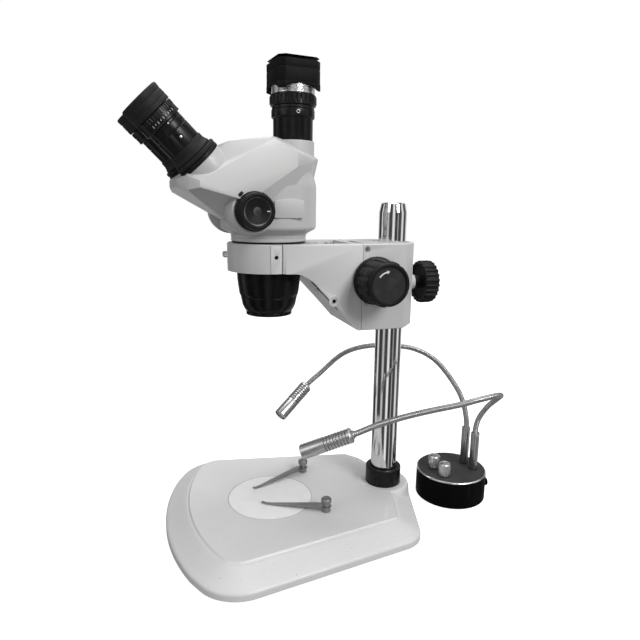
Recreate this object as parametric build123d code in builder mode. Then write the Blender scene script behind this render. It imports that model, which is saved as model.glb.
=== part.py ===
from build123d import *
import math
import os

os.makedirs("parts", exist_ok=True)

# Driving dimensions, in millimetres. The origin is on the bench under the middle of the whole footprint.
# +Y runs to the back, -Y to the person looking through the eyepieces and +X to their right.
COLUMN_Y = 80.8  # the column's axis, behind the origin
OPTIC_GAP = 147.4  # from the column's axis forward to the optical axis
COLUMN_R = 16.0
FIT = 0.05  # radial clearance of every running fit
FOOT = 1.5  # how far the feet hold the casting off the bench
BASE_TOP = 26.0
RIM_TOP = 11.0  # height of the upright edge of the base
PLATE_R = 49.7
COLUMN_TOP = 363.6
BLOCK_LOW = 235.2
ARM_TOP = 330.0
ARM_HALF = 44.0  # half the width of arm and focus block
SLIDE_Y = -53.0  # the block's front face, from the column's axis
KNOB_Y = -38.5  # the pinion's axis, from the column's axis
KNOB_Z = 290.5
CLAMP_Z = 281.4
RING_R = 45.0
NECK_R = 37.95
HEAD_TURN = 7.0  # the head stands turned by this many degrees in its ring
HEAD_HALF = 56.0
DRUM_R = 52.0
HEAD_LOW = 338.8
ZOOM_Y = -32.5  # zoom shaft, from the optical axis
ZOOM_Z = 363.6
EYE_X = 26.8  # half the distance between the eyepieces
EYE_END = (-132.8, 463.4)  # the middle of an eyecup's end, from the optical axis
EYE_SWING = 4.5  # from an eyepiece's axis out to the axis that its tube swings about
PORT_Y = 28.3  # photo tube, from the optical axis
MODULE = 0.8
TEETH = 20
PUCK = (13.0, 91.0)  # the lamp base, from the column's axis
PUCK_TOP = 37.4
LAMP_R = 8.3
NECK = 3.4  # radius of a bendable arm

OPTIC_Y = COLUMN_Y - OPTIC_GAP
TURN = math.radians(HEAD_TURN)

COLUMN = Plane(origin=(0, COLUMN_Y, 0))
OPTIC = Plane(origin=(0, OPTIC_Y, 0))
HEAD = Plane(origin=(0, OPTIC_Y, 0), x_dir=(math.cos(TURN), math.sin(TURN), 0), z_dir=(0, 0, 1))
LAMP_BASE = Plane(origin=(PUCK[0], COLUMN_Y + PUCK[1], 0))


def side(plane, shift=0.0):
    """The upright plane seen from the right: its x runs back, its y runs up."""
    return Plane(origin=plane.origin + plane.x_dir * shift, x_dir=plane.y_dir, z_dir=plane.x_dir)


def face_on(plane, *points):
    """A flat outline with straight edges."""
    with BuildSketch(plane) as flat:
        with BuildLine():
            Polyline(*points, close=True)
        make_face()
    return flat.sketch


def lathe(plane, *outline):
    """A turned piece: (radius, height) points spun about the plane's normal."""
    with BuildPart() as spun:
        profile = Plane(origin=plane.origin, x_dir=plane.x_dir, z_dir=-plane.y_dir)
        revolve(face_on(profile, *outline), axis=Axis(plane.origin, plane.z_dir))
    return spun.part


def slab(plane, amount, *points, both=False):
    """A straight piece: an outline pushed along the plane's normal."""
    with BuildPart() as pushed:
        extrude(face_on(plane, *points), amount=amount, both=both)
    return pushed.part


def along_x(y, z, plane=COLUMN):
    """A plane whose normal runs to the right through a point of the side view."""
    origin = plane.origin + plane.y_dir * y + plane.z_dir * z
    return Plane(origin=origin, x_dir=plane.y_dir, z_dir=plane.x_dir)


def save(piece, name):
    piece.part.label = name
    export_step(piece.part, f"parts/{name}.step")


# ---------------------------------------------------------------- base and column
def base_outline(inset):
    """The base seen from above: a front arc, tapering sides and a lobe round the column."""
    front, corner, rear = (0, -269.5), (147.1, -225.2), (108.2, 2.4)
    lobe_x, lobe_y, lobe_back = 10.1, 32.7, 34.2
    with BuildSketch(COLUMN.offset(FOOT)) as plan:
        with BuildLine():
            ThreePointArc((-corner[0], corner[1]), front, corner)
            Polyline(corner, rear, (lobe_x, lobe_y))
            ThreePointArc((lobe_x, lobe_y), (0, lobe_back), (-lobe_x, lobe_y))
            Polyline((-lobe_x, lobe_y), (-rear[0], rear[1]), (-corner[0], corner[1]))
        make_face()
        fillet(plan.vertices().group_by(Axis.Y)[0], radius=52)
        wide = [v for v in plan.vertices() if abs(v.X) > 100 and v.Y > -20]
        fillet(wide, radius=33)
        if inset:
            offset(amount=-inset, mode=Mode.REPLACE)
    return plan.sketch


FOOT_PLACES = [(-112, -205), (112, -205), (-84, -18), (84, -18)]
CLIP_PLACES = [(-50.0, -92.7, -67.9), (50.0, -92.7, -118.0)]  # x, y and the way each clip points

with BuildPart() as base_casting:
    extrude(base_outline(0), amount=BASE_TOP - FOOT)
    top = base_casting.faces().sort_by(Axis.Z)[-1]
    chamfer(top.edges(), length=24, length2=BASE_TOP - RIM_TOP, reference=top)
    fillet(base_casting.faces().sort_by(Axis.Z)[-1].edges(), radius=3)
    with BuildSketch(COLUMN.offset(FOOT)):
        Circle(33.6)
    extrude(amount=BASE_TOP - FOOT, taper=4)
    extrude(base_outline(9), amount=8, mode=Mode.SUBTRACT)
    extrude(base_outline(32), amount=17.5, mode=Mode.SUBTRACT)
    with BuildSketch(COLUMN.offset(FOOT)):
        Circle(27)
        with Locations(*FOOT_PLACES):
            Circle(12)
    extrude(amount=8)
    with BuildSketch(COLUMN.offset(FOOT + 8)):
        Circle(27)
        with Locations(*[(x, y) for x, y, _ in CLIP_PLACES]):
            Circle(7)
    extrude(amount=11)
    with BuildSketch(OPTIC.offset(BASE_TOP)):
        Circle(PLATE_R + 0.6)
    extrude(amount=-3.2, mode=Mode.SUBTRACT)
    with BuildSketch(COLUMN.offset(BASE_TOP)):
        Circle(COLUMN_R + FIT)
    extrude(amount=-12, mode=Mode.SUBTRACT)
    with BuildSketch(COLUMN.offset(FOOT)):
        Circle(4.5)
    extrude(amount=14, mode=Mode.SUBTRACT)
    with BuildSketch(COLUMN.offset(FOOT)):
        Circle(9.2)
    extrude(amount=8.1, mode=Mode.SUBTRACT)
    with BuildSketch(COLUMN.offset(FOOT)):
        with Locations(*FOOT_PLACES):
            Circle(4.0)
    extrude(amount=6, mode=Mode.SUBTRACT)
    with BuildSketch(COLUMN.offset(BASE_TOP)):
        with Locations(*[(x, y) for x, y, _ in CLIP_PLACES]):
            Circle(3.0 + FIT)
    extrude(amount=-12, mode=Mode.SUBTRACT)
save(base_casting, "base_casting")

with BuildPart() as base_feet:
    for x, y in FOOT_PLACES:
        add(lathe(Plane(origin=(x, COLUMN_Y + y, 0)), (0, 0), (10, 0), (11, FOOT), (3.9, FOOT), (3.9, 7), (0, 7)))
save(base_feet, "base_feet")

with BuildPart() as column:
    add(lathe(COLUMN, (3.4, 14), (COLUMN_R, 14), (COLUMN_R, COLUMN_TOP), (12.5, COLUMN_TOP),
              (12.5, 60), (0, 60), (0, 46), (3.4, 46)))
save(column, "column")

with BuildPart() as column_cap:
    add(lathe(COLUMN, (0, 350), (12.45, 350), (12.45, COLUMN_TOP), (COLUMN_R, COLUMN_TOP),
              (14, 373), (12.8, 374.2), (0, 374.2)))
save(column_cap, "column_cap")

COLLAR_SCREWS = [-48, 32]  # degrees round the column
with BuildPart() as column_collar:
    add(lathe(COLUMN, (COLUMN_R + FIT, BASE_TOP), (22, BASE_TOP), (22, 46.6), (21, 47.6), (18.5, 47.6),
              (COLUMN_R + FIT, 45.4)))
    for turn in COLLAR_SCREWS:
        hole = Plane(origin=(0, COLUMN_Y, 36), x_dir=(0, 0, 1),
                     z_dir=(math.cos(math.radians(turn)), math.sin(math.radians(turn)), 0))
        with BuildSketch(hole):
            Circle(2.05)
        extrude(amount=30, mode=Mode.SUBTRACT)
save(column_collar, "column_collar")

with BuildPart() as collar_screws:
    for turn in COLLAR_SCREWS:
        hole = Plane(origin=(0, COLUMN_Y, 36), x_dir=(0, 0, 1),
                     z_dir=(math.cos(math.radians(turn)), math.sin(math.radians(turn)), 0))
        add(lathe(hole, (0, COLUMN_R + 0.1), (2.0, COLUMN_R + 0.1), (2.0, 21.4), (1.0, 21.4), (1.0, 19.4), (0, 19.4)))
save(collar_screws, "collar_screws")

with BuildPart() as column_bolt:
    add(lathe(COLUMN, (0, 3.6), (6.5, 3.6), (6.5, 9.6), (3.35, 9.6), (3.35, 40), (0, 40)))
save(column_bolt, "column_bolt")

with BuildPart() as stage_plate:
    add(lathe(OPTIC, (0, 22.8), (PLATE_R, 22.8), (PLATE_R, 25.6), (PLATE_R - 0.4, BASE_TOP), (0, BASE_TOP)))
save(stage_plate, "stage_plate")


# ---------------------------------------------------------------- stage clips
def clip_plane(x, y, way):
    a = math.radians(way)
    return Plane(origin=(x, COLUMN_Y + y, 0), x_dir=(math.cos(a), math.sin(a), 0), z_dir=(0, 0, 1))


def clip_post(plane):
    """A stem in the base, a collar under the spring and a flat thumb head."""
    return lathe(plane, (0, 15), (3, 15), (3, 26.6), (5, 26.6), (5, 31.5), (2.95, 31.5), (2.95, 32.4),
                 (4, 32.4), (4, 37), (5.75, 37), (5.75, 41.4), (5.1, 42), (0, 42))


def clip_blade(plane):
    """A flat spring that leaves the post, drops to the plate and turns up at its tip."""
    profile = Plane(origin=plane.origin, x_dir=plane.x_dir, z_dir=-plane.y_dir)
    with BuildPart() as blade:
        extrude(face_on(profile, (-5.6, 31.5), (13, 31.5), (64, 26.7), (72, 26.5), (77, 27.9), (76.8, 28.8),
                        (72, 27.4), (64, 27.6), (13, 32.4), (-5.6, 32.4)), amount=7, both=True)
        extrude(face_on(plane.offset(20), (-5.6, -3.4), (-2, -5.6), (6, -5.6), (76, -1.9), (77.2, -1.2),
                        (77.2, 1.2), (76, 1.9), (6, 5.6), (-2, 5.6), (-5.6, 3.4)), amount=20, mode=Mode.INTERSECT)
        with BuildSketch(plane.offset(20)):
            Circle(2.95)
        extrude(amount=20, mode=Mode.SUBTRACT)
    return blade


for place, hand in zip(CLIP_PLACES, ("left", "right")):
    with BuildPart() as stage_clip:
        add(clip_post(clip_plane(*place)))
        add(clip_blade(clip_plane(*place)).part)
    save(stage_clip, f"stage_clip_{hand}")


# ---------------------------------------------------------------- focus block and clamp
def up(plane, z):
    return plane.offset(z)


SLOT_MOUTH, SLOT_DEPTH, SLOT_FLARE = 16.0, 7.8, 4.5
SLOT_BACK = SLIDE_Y + SLOT_DEPTH
BLOCK_SCREWS = [(-48.6, 324.5), (-48.6, 266.1)]  # y and z of the recessed screws
with BuildPart() as column_bush:
    add(lathe(COLUMN, (COLUMN_R + FIT, 237), (17.45, 237), (17.45, 328), (COLUMN_R + FIT, 328)))
save(column_bush, "column_bush")

with BuildPart() as focus_block:
    add(slab(up(COLUMN, BLOCK_LOW), ARM_TOP - BLOCK_LOW, (-ARM_HALF, SLIDE_Y), (ARM_HALF, SLIDE_Y),
             (ARM_HALF, -2.1), (23, 17), (14, 21), (-14, 21), (-23, 17), (-ARM_HALF, -2.1)))
    outer = focus_block.edges().filter_by(Axis.Z)
    fillet(outer.filter_by(lambda e: abs(e.center().X) > 20 and e.center().Y > COLUMN_Y - 10), radius=3)
    caps = focus_block.faces().filter_by(Axis.Z)
    chamfer(caps.edges(), length=0.7)
    boss = Plane(origin=(0, COLUMN_Y + 19, CLAMP_Z), x_dir=(1, 0, 0), z_dir=(0, 1, 0))
    with BuildSketch(boss):
        Circle(9)
    extrude(amount=10)
    with BuildSketch(up(COLUMN, BLOCK_LOW)):
        Circle(17.45 + FIT)
    extrude(amount=ARM_TOP - BLOCK_LOW, mode=Mode.SUBTRACT)
    with BuildSketch(boss.offset(-5)):
        Circle(4.0 + FIT)
    extrude(amount=16, mode=Mode.SUBTRACT)
    add(slab(up(COLUMN, BLOCK_LOW), ARM_TOP - BLOCK_LOW, (-SLOT_MOUTH, SLIDE_Y), (SLOT_MOUTH, SLIDE_Y),
             (SLOT_MOUTH + SLOT_FLARE, SLOT_BACK), (-SLOT_MOUTH - SLOT_FLARE, SLOT_BACK)), mode=Mode.SUBTRACT)
    with BuildSketch(along_x(KNOB_Y, KNOB_Z)):
        Circle(9.0)
    extrude(amount=ARM_HALF + 1, both=True, mode=Mode.SUBTRACT)
    for y, z in BLOCK_SCREWS:
        for hand in (1, -1):
            with BuildSketch(Plane(origin=(hand * 37, COLUMN_Y + y, z), x_dir=(0, 1, 0), z_dir=(hand, 0, 0))):
                Circle(3.2)
            extrude(amount=8, mode=Mode.SUBTRACT)
save(focus_block, "focus_block")

with BuildPart() as block_screws:
    for y, z in BLOCK_SCREWS:
        for hand in (1, -1):
            hole = Plane(origin=(hand * 37.2, COLUMN_Y + y, z), x_dir=(0, 1, 0), z_dir=(hand, 0, 0))
            add(lathe(hole, (0, 0), (3.1, 0), (3.1, 5.6), (1.6, 5.6), (1.6, 3.0), (0, 3.0)))
save(block_screws, "block_screws")

with BuildPart() as shaft_bushes:
    for hand in (1, -1):
        seat = Plane(origin=(hand * 30.0, COLUMN_Y + KNOB_Y, KNOB_Z), x_dir=(0, 1, 0), z_dir=(hand, 0, 0))
        add(lathe(seat, (5.0 + FIT, 0), (8.98, 0), (8.98, 13.8), (5.0 + FIT, 13.8)))
save(shaft_bushes, "shaft_bushes")

CLAMP = Plane(origin=(0, COLUMN_Y, CLAMP_Z), x_dir=(1, 0, 0), z_dir=(0, 1, 0))
with BuildPart() as clamp_knob:
    add(lathe(CLAMP, (0, 17.7), (4, 17.7), (4, 31), (7.2, 31), (7.8, 45), (21, 46), (22.4, 36), (24, 36),
              (25, 37.2), (25, 52.8), (24, 54), (0, 54)))
save(clamp_knob, "clamp_knob")


# ---------------------------------------------------------------- rack, pinion and focus knobs
def gear_outline(module):
    """One point list round a spur gear, with true involute flanks thinned for backlash."""
    pitch_r = module * TEETH / 2
    base_r = pitch_r * math.cos(math.radians(20))
    tip_r, root_r = pitch_r + 0.95 * module, pitch_r - 1.25 * module
    half = math.pi / (2 * TEETH) - 0.06 / pitch_r
    inv20 = math.tan(math.radians(20)) - math.radians(20)
    points = []
    for tooth in range(TEETH):
        middle = 2 * math.pi * tooth / TEETH
        flank = []
        for step in range(5):
            r = base_r + (tip_r - base_r) * step / 4
            press = math.acos(base_r / r)
            flank.append((r, half + inv20 - (math.tan(press) - press)))
        left = [(root_r, -flank[0][1] - 0.02)] + [(r, -a) for r, a in flank]
        right = [(r, a) for r, a in reversed(flank)] + [(root_r, flank[0][1] + 0.02)]
        points += [(r * math.cos(middle + a), r * math.sin(middle + a)) for r, a in left + right]
    return points


def rack_outline(module, line, facing, back, middle, low, high):
    """A rack seen from the side: its tips face +y or -y, with a gap at the pinion's height."""
    pitch = math.pi * module
    rise, fall = facing * 0.95 * module, facing * 1.25 * module
    slope = math.tan(math.radians(20)) * module
    half = pitch / 4 - 0.06
    count = int((high - low) / pitch / 2) - 1
    points = [(back, low), (line - fall, low)]
    for k in range(-count - 1, count + 1):
        z = middle + (k + 0.5) * pitch
        points += [(line - fall, z - half - 1.25 * slope), (line + rise, z - half + 0.95 * slope),
                   (line + rise, z + half - 0.95 * slope), (line - fall, z + half + 1.25 * slope)]
    return points + [(line - fall, high), (back, high)]


PINION = along_x(KNOB_Y, KNOB_Z)
with BuildPart() as pinion_shaft:
    # the first tooth points along the plane's +x; half a turn puts one on the rack's side too
    add(slab(PINION, 5.5, *gear_outline(MODULE), both=True))
    with BuildSketch(PINION):
        Circle(5.0)
    extrude(amount=70, both=True)
save(pinion_shaft, "pinion_shaft")

for hand, word in ((1, "right"), (-1, "left")):
    outward = Plane(origin=PINION.origin, x_dir=(0, 1, 0), z_dir=(hand, 0, 0))
    with BuildPart() as focus_knob:
        add(lathe(outward, (5, 46), (26.5, 46), (26.5, 48.6), (24.4, 49.6), (24.2, 78), (22.6, 80), (22.6, 83),
                  (18.8, 83), (18.8, 82), (0, 82), (0, 70.2), (5, 70.2)))
    save(focus_knob, f"focus_knob_{word}")

SLIDE_FACE = -46.0  # back of the dovetail slide, from the column's axis
ARM_BACK = -53.6
RACK_BACK = -52.0
GROOVE_LOW, GROOVE_HIGH = 258.4, 322.6
with BuildPart() as dovetail_slide:
    slope = SLOT_FLARE / SLOT_DEPTH
    wide = SLOT_MOUTH - 0.08 + (SLIDE_FACE - SLIDE_Y) * slope
    narrow = SLOT_MOUTH - 0.08 + (ARM_BACK - SLIDE_Y) * slope
    add(slab(up(COLUMN, 238), 88, (-narrow, ARM_BACK), (narrow, ARM_BACK), (wide, SLIDE_FACE), (-wide, SLIDE_FACE)))
    add(slab(along_x(0, 0), 6.05, (RACK_BACK, GROOVE_LOW), (SLIDE_FACE + 1, GROOVE_LOW),
             (SLIDE_FACE + 1, GROOVE_HIGH), (RACK_BACK, GROOVE_HIGH), both=True), mode=Mode.SUBTRACT)
save(dovetail_slide, "dovetail_slide")


with BuildPart() as rack:
    teeth = rack_outline(MODULE, KNOB_Y - MODULE * TEETH / 2, 1, RACK_BACK, KNOB_Z, GROOVE_LOW + 0.05, GROOVE_HIGH - 0.05)
    add(slab(along_x(0, 0), 6.0, *teeth, both=True))
save(rack, "rack")

# ---------------------------------------------------------------- arm and head ring
PAD_Y = (-154.6, -143.3)
THUMB = math.radians(-120)  # the ring screw's way round the optical axis
THUMB_PLANE = Plane(origin=(0, OPTIC_Y, 315.4), x_dir=(0, 0, 1), z_dir=(math.cos(THUMB), math.sin(THUMB), 0))
with BuildPart() as arm_casting:
    with BuildSketch(side(COLUMN)):
        with BuildLine():
            Polyline((ARM_BACK, ARM_TOP), (-OPTIC_GAP, ARM_TOP), (-OPTIC_GAP, 300))
            Line((-OPTIC_GAP, 300), (-126, 299.2))
            ThreePointArc((-126, 299.2), (-113.6, 294.1), (-103, 284.4))
            Polyline((-103, 284.4), (-78.4, 257.9), (-62, 239.4))
            ThreePointArc((-62, 239.4), (-59.4, 236.7), (-56.5, 235.4))
            Polyline((-56.5, 235.4), (ARM_BACK, BLOCK_LOW), (ARM_BACK, ARM_TOP))
        make_face()
    extrude(amount=ARM_HALF, both=True)
    with BuildSketch(OPTIC.offset(300)):
        Circle(RING_R)
    extrude(amount=ARM_TOP - 300)
    rims = arm_casting.faces().filter_by(Axis.Z).sort_by(Axis.Z)[-1]
    chamfer(rims.edges(), length=1.0)
    add(slab(side(COLUMN, 40), 5.4, (PAD_Y[0], 300.2), (PAD_Y[1], 300.2), (PAD_Y[1], 328.8), (PAD_Y[0], 328.8)))
    with BuildSketch(side(COLUMN, 40)):
        with Locations((-85.4, 269.3)):
            Circle(6.6)
    extrude(amount=4.6)
    add(slab(side(COLUMN, 38), 12, (-80, 259.6), (-110, 291.5), (-110, 250), (-70, 240)), mode=Mode.SUBTRACT)
    add(slab(side(COLUMN, 41), 8, (PAD_Y[1], 290), (PAD_Y[1] + 1.6, 290), (PAD_Y[1] + 1.6, 332), (PAD_Y[1], 332)),
        mode=Mode.SUBTRACT)
    add(lathe(OPTIC, (0, 290), (38.0, 290), (38.0, 331), (0, 331)), mode=Mode.SUBTRACT)
    add(slab(up(COLUMN, 324), 8, (-30, -101), (30, -101), (30, -62), (-30, -62)), mode=Mode.SUBTRACT)
    for y, z, r in [(-148.9, 317.0, 2.1), (-85.4, 269.3, 2.3)]:
        with BuildSketch(side(COLUMN, 34)):
            with Locations((y, z)):
                Circle(r)
        extrude(amount=12, mode=Mode.SUBTRACT)
    with BuildSketch(THUMB_PLANE.offset(36)):
        Circle(2.0 + FIT)
    extrude(amount=12, mode=Mode.SUBTRACT)
save(arm_casting, "arm_casting")

with BuildPart() as arm_screws:
    for x, y in [(-20, -90), (20, -90), (-20, -72), (20, -72)]:
        top_hole = Plane(origin=(x, COLUMN_Y + y, 324))
        add(lathe(top_hole, (0, 0), (4.2, 0), (4.2, 3.6), (3.8, 4), (1.9, 4), (1.9, 1.6), (0, 1.6)))
save(arm_screws, "arm_screws")

with BuildPart() as ring_screw:
    add(lathe(THUMB_PLANE, (0, 38.3), (2, 38.3), (2, 46.4), (3.4, 46.8), (3.4, 52.4), (2.8, 53), (0, 53)))
save(ring_screw, "ring_screw")


# ---------------------------------------------------------------- microscope head
def head_point(x, y, z):
    return HEAD.from_local_coords(Vector(x, y, z))


def beyond(point, normal):
    """Everything outside a plane given in the head's own directions, out to 90 mm."""
    away = HEAD.x_dir * normal[0] + HEAD.y_dir * normal[1] + HEAD.z_dir * normal[2]
    with BuildPart() as outside:
        with BuildSketch(Plane(origin=head_point(*point), z_dir=away)):
            Rectangle(400, 400)
        extrude(amount=90)
    return outside.part


def eye_plane(hand, shift):
    """Looks down an eyepiece from its end; shift moves it outboard to the swing axis."""
    c = math.cos(math.radians(45))
    return Plane(origin=head_point(hand * (EYE_X + shift), *EYE_END), x_dir=HEAD.x_dir,
                 z_dir=HEAD.y_dir * c - HEAD.z_dir * c)


PORT = Plane(origin=head_point(0, PORT_Y, 0), x_dir=HEAD.x_dir, z_dir=(0, 0, 1))

with BuildPart() as mount_neck:
    add(lathe(HEAD, (33, 303), (NECK_R, 303), (NECK_R, 330.3), (40, 330.3), (40, 331.8), (33, 331.8)))
save(mount_neck, "mount_neck")

with BuildPart() as objective_housing:
    add(lathe(HEAD, (23, 251), (25.3, 251), (25.3, 254.5), (27.5, 257.8), (29.5, 262), (30.7, 268), (32.7, 275),
              (33.9, 284), (34.8, 290), (34.8, 303), (31, 303), (31, 284), (28, 272), (23, 266)))
save(objective_housing, "objective_housing")

with BuildPart() as objective_lens:
    add(lathe(HEAD, (0, 252.4), (12, 253.3), (23, 256.5), (23, 263), (0, 263)))
save(objective_lens, "objective_lens")

with BuildPart() as head_shell:
    # the upper body: a side outline cut to the plan and bevelled
    add(slab(side(HEAD), HEAD_HALF, (-97, 384.2), (-100.3, 386.7), (-100.2, 390), (-57, 429.5), (-3.6, 436.5),
             (DRUM_R, 436.5), (DRUM_R, 384.2), both=True))
    with BuildSketch(HEAD.offset(330)):
        with BuildLine():
            Polyline((-DRUM_R, 0), (-HEAD_HALF, -24), (-HEAD_HALF, -92), (-HEAD_HALF + 9, -101),
                     (HEAD_HALF - 9, -101), (HEAD_HALF, -92), (HEAD_HALF, -24), (DRUM_R, 0))
            ThreePointArc((DRUM_R, 0), (0, DRUM_R), (-DRUM_R, 0))
        make_face()
    extrude(amount=120, mode=Mode.INTERSECT)
    for hand in (1, -1):
        add(beyond((hand * HEAD_HALF, -18.5, 431.4), (hand * 0.464, -0.441, 0.713)), mode=Mode.SUBTRACT)
        add(beyond((hand * 55, -1, 430.5), (hand * 0.68, 0.46, 0.57)), mode=Mode.SUBTRACT)
    # the drum below, the wedge under the eyepieces and the flange on the neck
    add(lathe(HEAD, (0, 331.8), (40.6, 331.8), (40.6, 338.8), (51, 344), (DRUM_R, 350), (DRUM_R, 386), (0, 386)))
    add(slab(side(HEAD), 46, (-48, 349), (-55.5, 354.9), (-97, 384.2), (-97, 386), (-30, 386), (-30, 349), both=True))
    for hand in (1, -1):
        hub = Plane(origin=head_point(0, ZOOM_Y, ZOOM_Z), x_dir=HEAD.y_dir, z_dir=HEAD.x_dir * hand)
        add(lathe(hub, (0, 34), (24.5, 34), (21, 51.2), (0, 51.2)))
        add(lathe(eye_plane(hand, EYE_SWING), (0, 72.1), (22.8, 72.1), (22.8, 92), (0, 92)))
    # hollow inside, with its bores
    add(lathe(HEAD, (0, 343), (38, 343), (46, 351), (46, 425), (0, 425)), mode=Mode.SUBTRACT)
    add(lathe(HEAD, (0, 331), (33, 331), (33, 344), (0, 344)), mode=Mode.SUBTRACT)
    add(lathe(PORT, (0, 424), (14, 424), (14, 427.5), (20, 427.5), (20, 441), (0, 441)), mode=Mode.SUBTRACT)
    for hand in (1, -1):
        hub = Plane(origin=head_point(0, ZOOM_Y, ZOOM_Z), x_dir=HEAD.y_dir, z_dir=HEAD.x_dir * hand)
        add(lathe(hub, (0, 30), (4 + FIT, 30), (4 + FIT, 51.2), (21, 51.2), (21, 70), (0, 70)), mode=Mode.SUBTRACT)
        add(lathe(eye_plane(hand, EYE_SWING), (0, 72), (18 + FIT, 72), (18 + FIT, 85), (11, 85), (11, 145), (0, 145)),
            mode=Mode.SUBTRACT)
save(head_shell, "head_shell")

ZOOM = along_x(ZOOM_Y, ZOOM_Z, HEAD)
ZOOM_MODULE = 0.6
with BuildPart() as zoom_shaft:
    add(slab(ZOOM, 4.0, *gear_outline(ZOOM_MODULE), both=True))
    with BuildSketch(ZOOM):
        Circle(4.0)
    extrude(amount=61.9, both=True)
save(zoom_shaft, "zoom_shaft")

for hand, word in ((1, "right"), (-1, "left")):
    hub = Plane(origin=head_point(0, ZOOM_Y, ZOOM_Z), x_dir=HEAD.y_dir, z_dir=HEAD.x_dir * hand)
    with BuildPart() as zoom_knob:
        add(lathe(hub, (4, 51.6), (19.8, 51.6), (19.8, 54.6), (18.6, 56), (17, 63.8), (16.2, 65), (13.4, 65),
                  (13.0, 64), (0, 64), (0, 61.9), (4, 61.9)))
    save(zoom_knob, f"zoom_knob_{word}")

ROD_X = 35.0
with BuildPart() as guide_rods:
    for hand in (1, -1):
        rod = Plane(origin=head_point(hand * ROD_X, 0, 0))
        add(lathe(rod, (0, 343), (2, 343), (2, 425), (0, 425)))
save(guide_rods, "guide_rods")

with BuildPart() as zoom_carriage:
    add(slab(HEAD.offset(383), 6, (-39, -14), (39, -14), (39, 14), (-39, 14)))
    add(slab(side(HEAD), 4.0, (-24.6, 352.6), (-21.4, 352.6), (-21.4, 383), (-13, 383), (-13, 389), (-24.6, 389),
             both=True))
    zoom_teeth = rack_outline(ZOOM_MODULE, ZOOM_Y + ZOOM_MODULE * TEETH / 2, -1, -24.6, ZOOM_Z, 352.6, 374.6)
    add(slab(side(HEAD), 4.0, *zoom_teeth, both=True))
    with BuildSketch(HEAD.offset(380)):
        with Locations((-ROD_X, 0), (ROD_X, 0)):
            Circle(2 + FIT)
    extrude(amount=12, mode=Mode.SUBTRACT)
save(zoom_carriage, "zoom_carriage")

for hand, word in ((1, "right"), (-1, "left")):
    tube, pivot = eye_plane(hand, 0), eye_plane(hand, EYE_SWING)
    screw_at = Plane(origin=tube.origin + tube.z_dir * 48, x_dir=tube.z_dir, z_dir=tube.x_dir * hand)
    with BuildPart() as eyetube:
        add(lathe(tube, (15, 33.6), (17.8, 33.6), (17.8, 57), (18.7, 57.6), (19.2, 63), (20.4, 68), (15, 68)))
        add(lathe(pivot, (11, 67.9), (22.8, 67.9), (22.8, 71.6), (18, 71.6), (18, 84), (11, 84)))
        with BuildSketch(screw_at):
            Circle(1.6)
        extrude(amount=22, mode=Mode.SUBTRACT)
    save(eyetube, f"eyetube_{word}")
    with BuildPart() as eyepiece:
        add(lathe(tube, (12.4, 3), (17, 3), (17, 31.2), (17.8, 31.2), (17.8, 33.6), (15, 33.6), (15, 60), (12.4, 60)))
        add(lathe(tube, (0, 5.0), (6, 5.4), (12.4, 7.2), (12.4, 13), (0, 13)))
    save(eyepiece, f"eyepiece_{word}")
    with BuildPart() as diopter_ring:
        add(lathe(tube, (17 + FIT, 18.3), (20.2, 18.3), (20.2, 30.9), (17 + FIT, 30.9)))
    save(diopter_ring, f"diopter_ring_{word}")
    with BuildPart() as eyecup:
        add(lathe(tube, (14.5, 0.5), (16, 0), (20, 0), (20.7, 1), (20.7, 18), (17, 18), (17, 3), (14.5, 3)))
    save(eyecup, f"eyecup_{word}")

# ---------------------------------------------------------------- photo tube and camera
with BuildPart() as photo_tube:
    add(lathe(PORT, (16, 428), (19.95, 428), (19.95, 436.5), (21.2, 436.5), (21.2, 459.5), (23.1, 459.5),
              (23.1, 468.4), (19 + FIT, 468.4), (19 + FIT, 452), (16, 452)))
save(photo_tube, "photo_tube")

with BuildPart() as adapter_barrel:
    add(lathe(PORT, (14, 452.4), (19, 452.4), (19, 468.8), (22.5, 468.8), (22.5, 471.4), (19, 471.4), (19, 483.6),
              (14, 483.6)))
save(adapter_barrel, "adapter_barrel")

with BuildPart() as adapter_ring:
    add(lathe(PORT, (19 + FIT, 471.8), (24, 471.8), (25, 472.8), (25, 482.2), (24, 483.2), (19 + FIT, 483.2)))
save(adapter_ring, "adapter_ring")

with BuildPart() as camera_mount:
    add(lathe(PORT, (12.7, 483.6), (23, 483.6), (23, 492.3), (12.7, 492.3)))
save(camera_mount, "camera_mount")

CAMERA_HALF, CAMERA_BEVEL = 23.5, 6.0


def camera_outline(half, bevel, z):
    """A square with cut corners, level, at a height on the photo tube's axis."""
    edge = half - bevel
    return face_on(PORT.offset(z), (half, -edge), (half, edge), (edge, half), (-edge, half), (-half, edge),
                   (-half, -edge), (-edge, -half), (edge, -half))


with BuildPart() as camera_body:
    extrude(camera_outline(CAMERA_HALF, CAMERA_BEVEL, 492.3), amount=14.2)
    extrude(camera_outline(CAMERA_HALF - 2.5, CAMERA_BEVEL - 1, 495), amount=12, mode=Mode.SUBTRACT)
    add(lathe(PORT, (0, 492), (12.7, 492), (12.7, 496), (0, 496)), mode=Mode.SUBTRACT)
save(camera_body, "camera_body")

with BuildPart() as camera_top:
    extrude(camera_outline(CAMERA_HALF, CAMERA_BEVEL, 506.5), amount=13.9)
    chamfer(camera_top.faces().sort_by(Axis.Z)[-1].edges(), length=5.4)
    extrude(camera_outline(CAMERA_HALF - 2.5, CAMERA_BEVEL - 1, 506.5), amount=3, mode=Mode.SUBTRACT)
save(camera_top, "camera_top")

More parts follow.
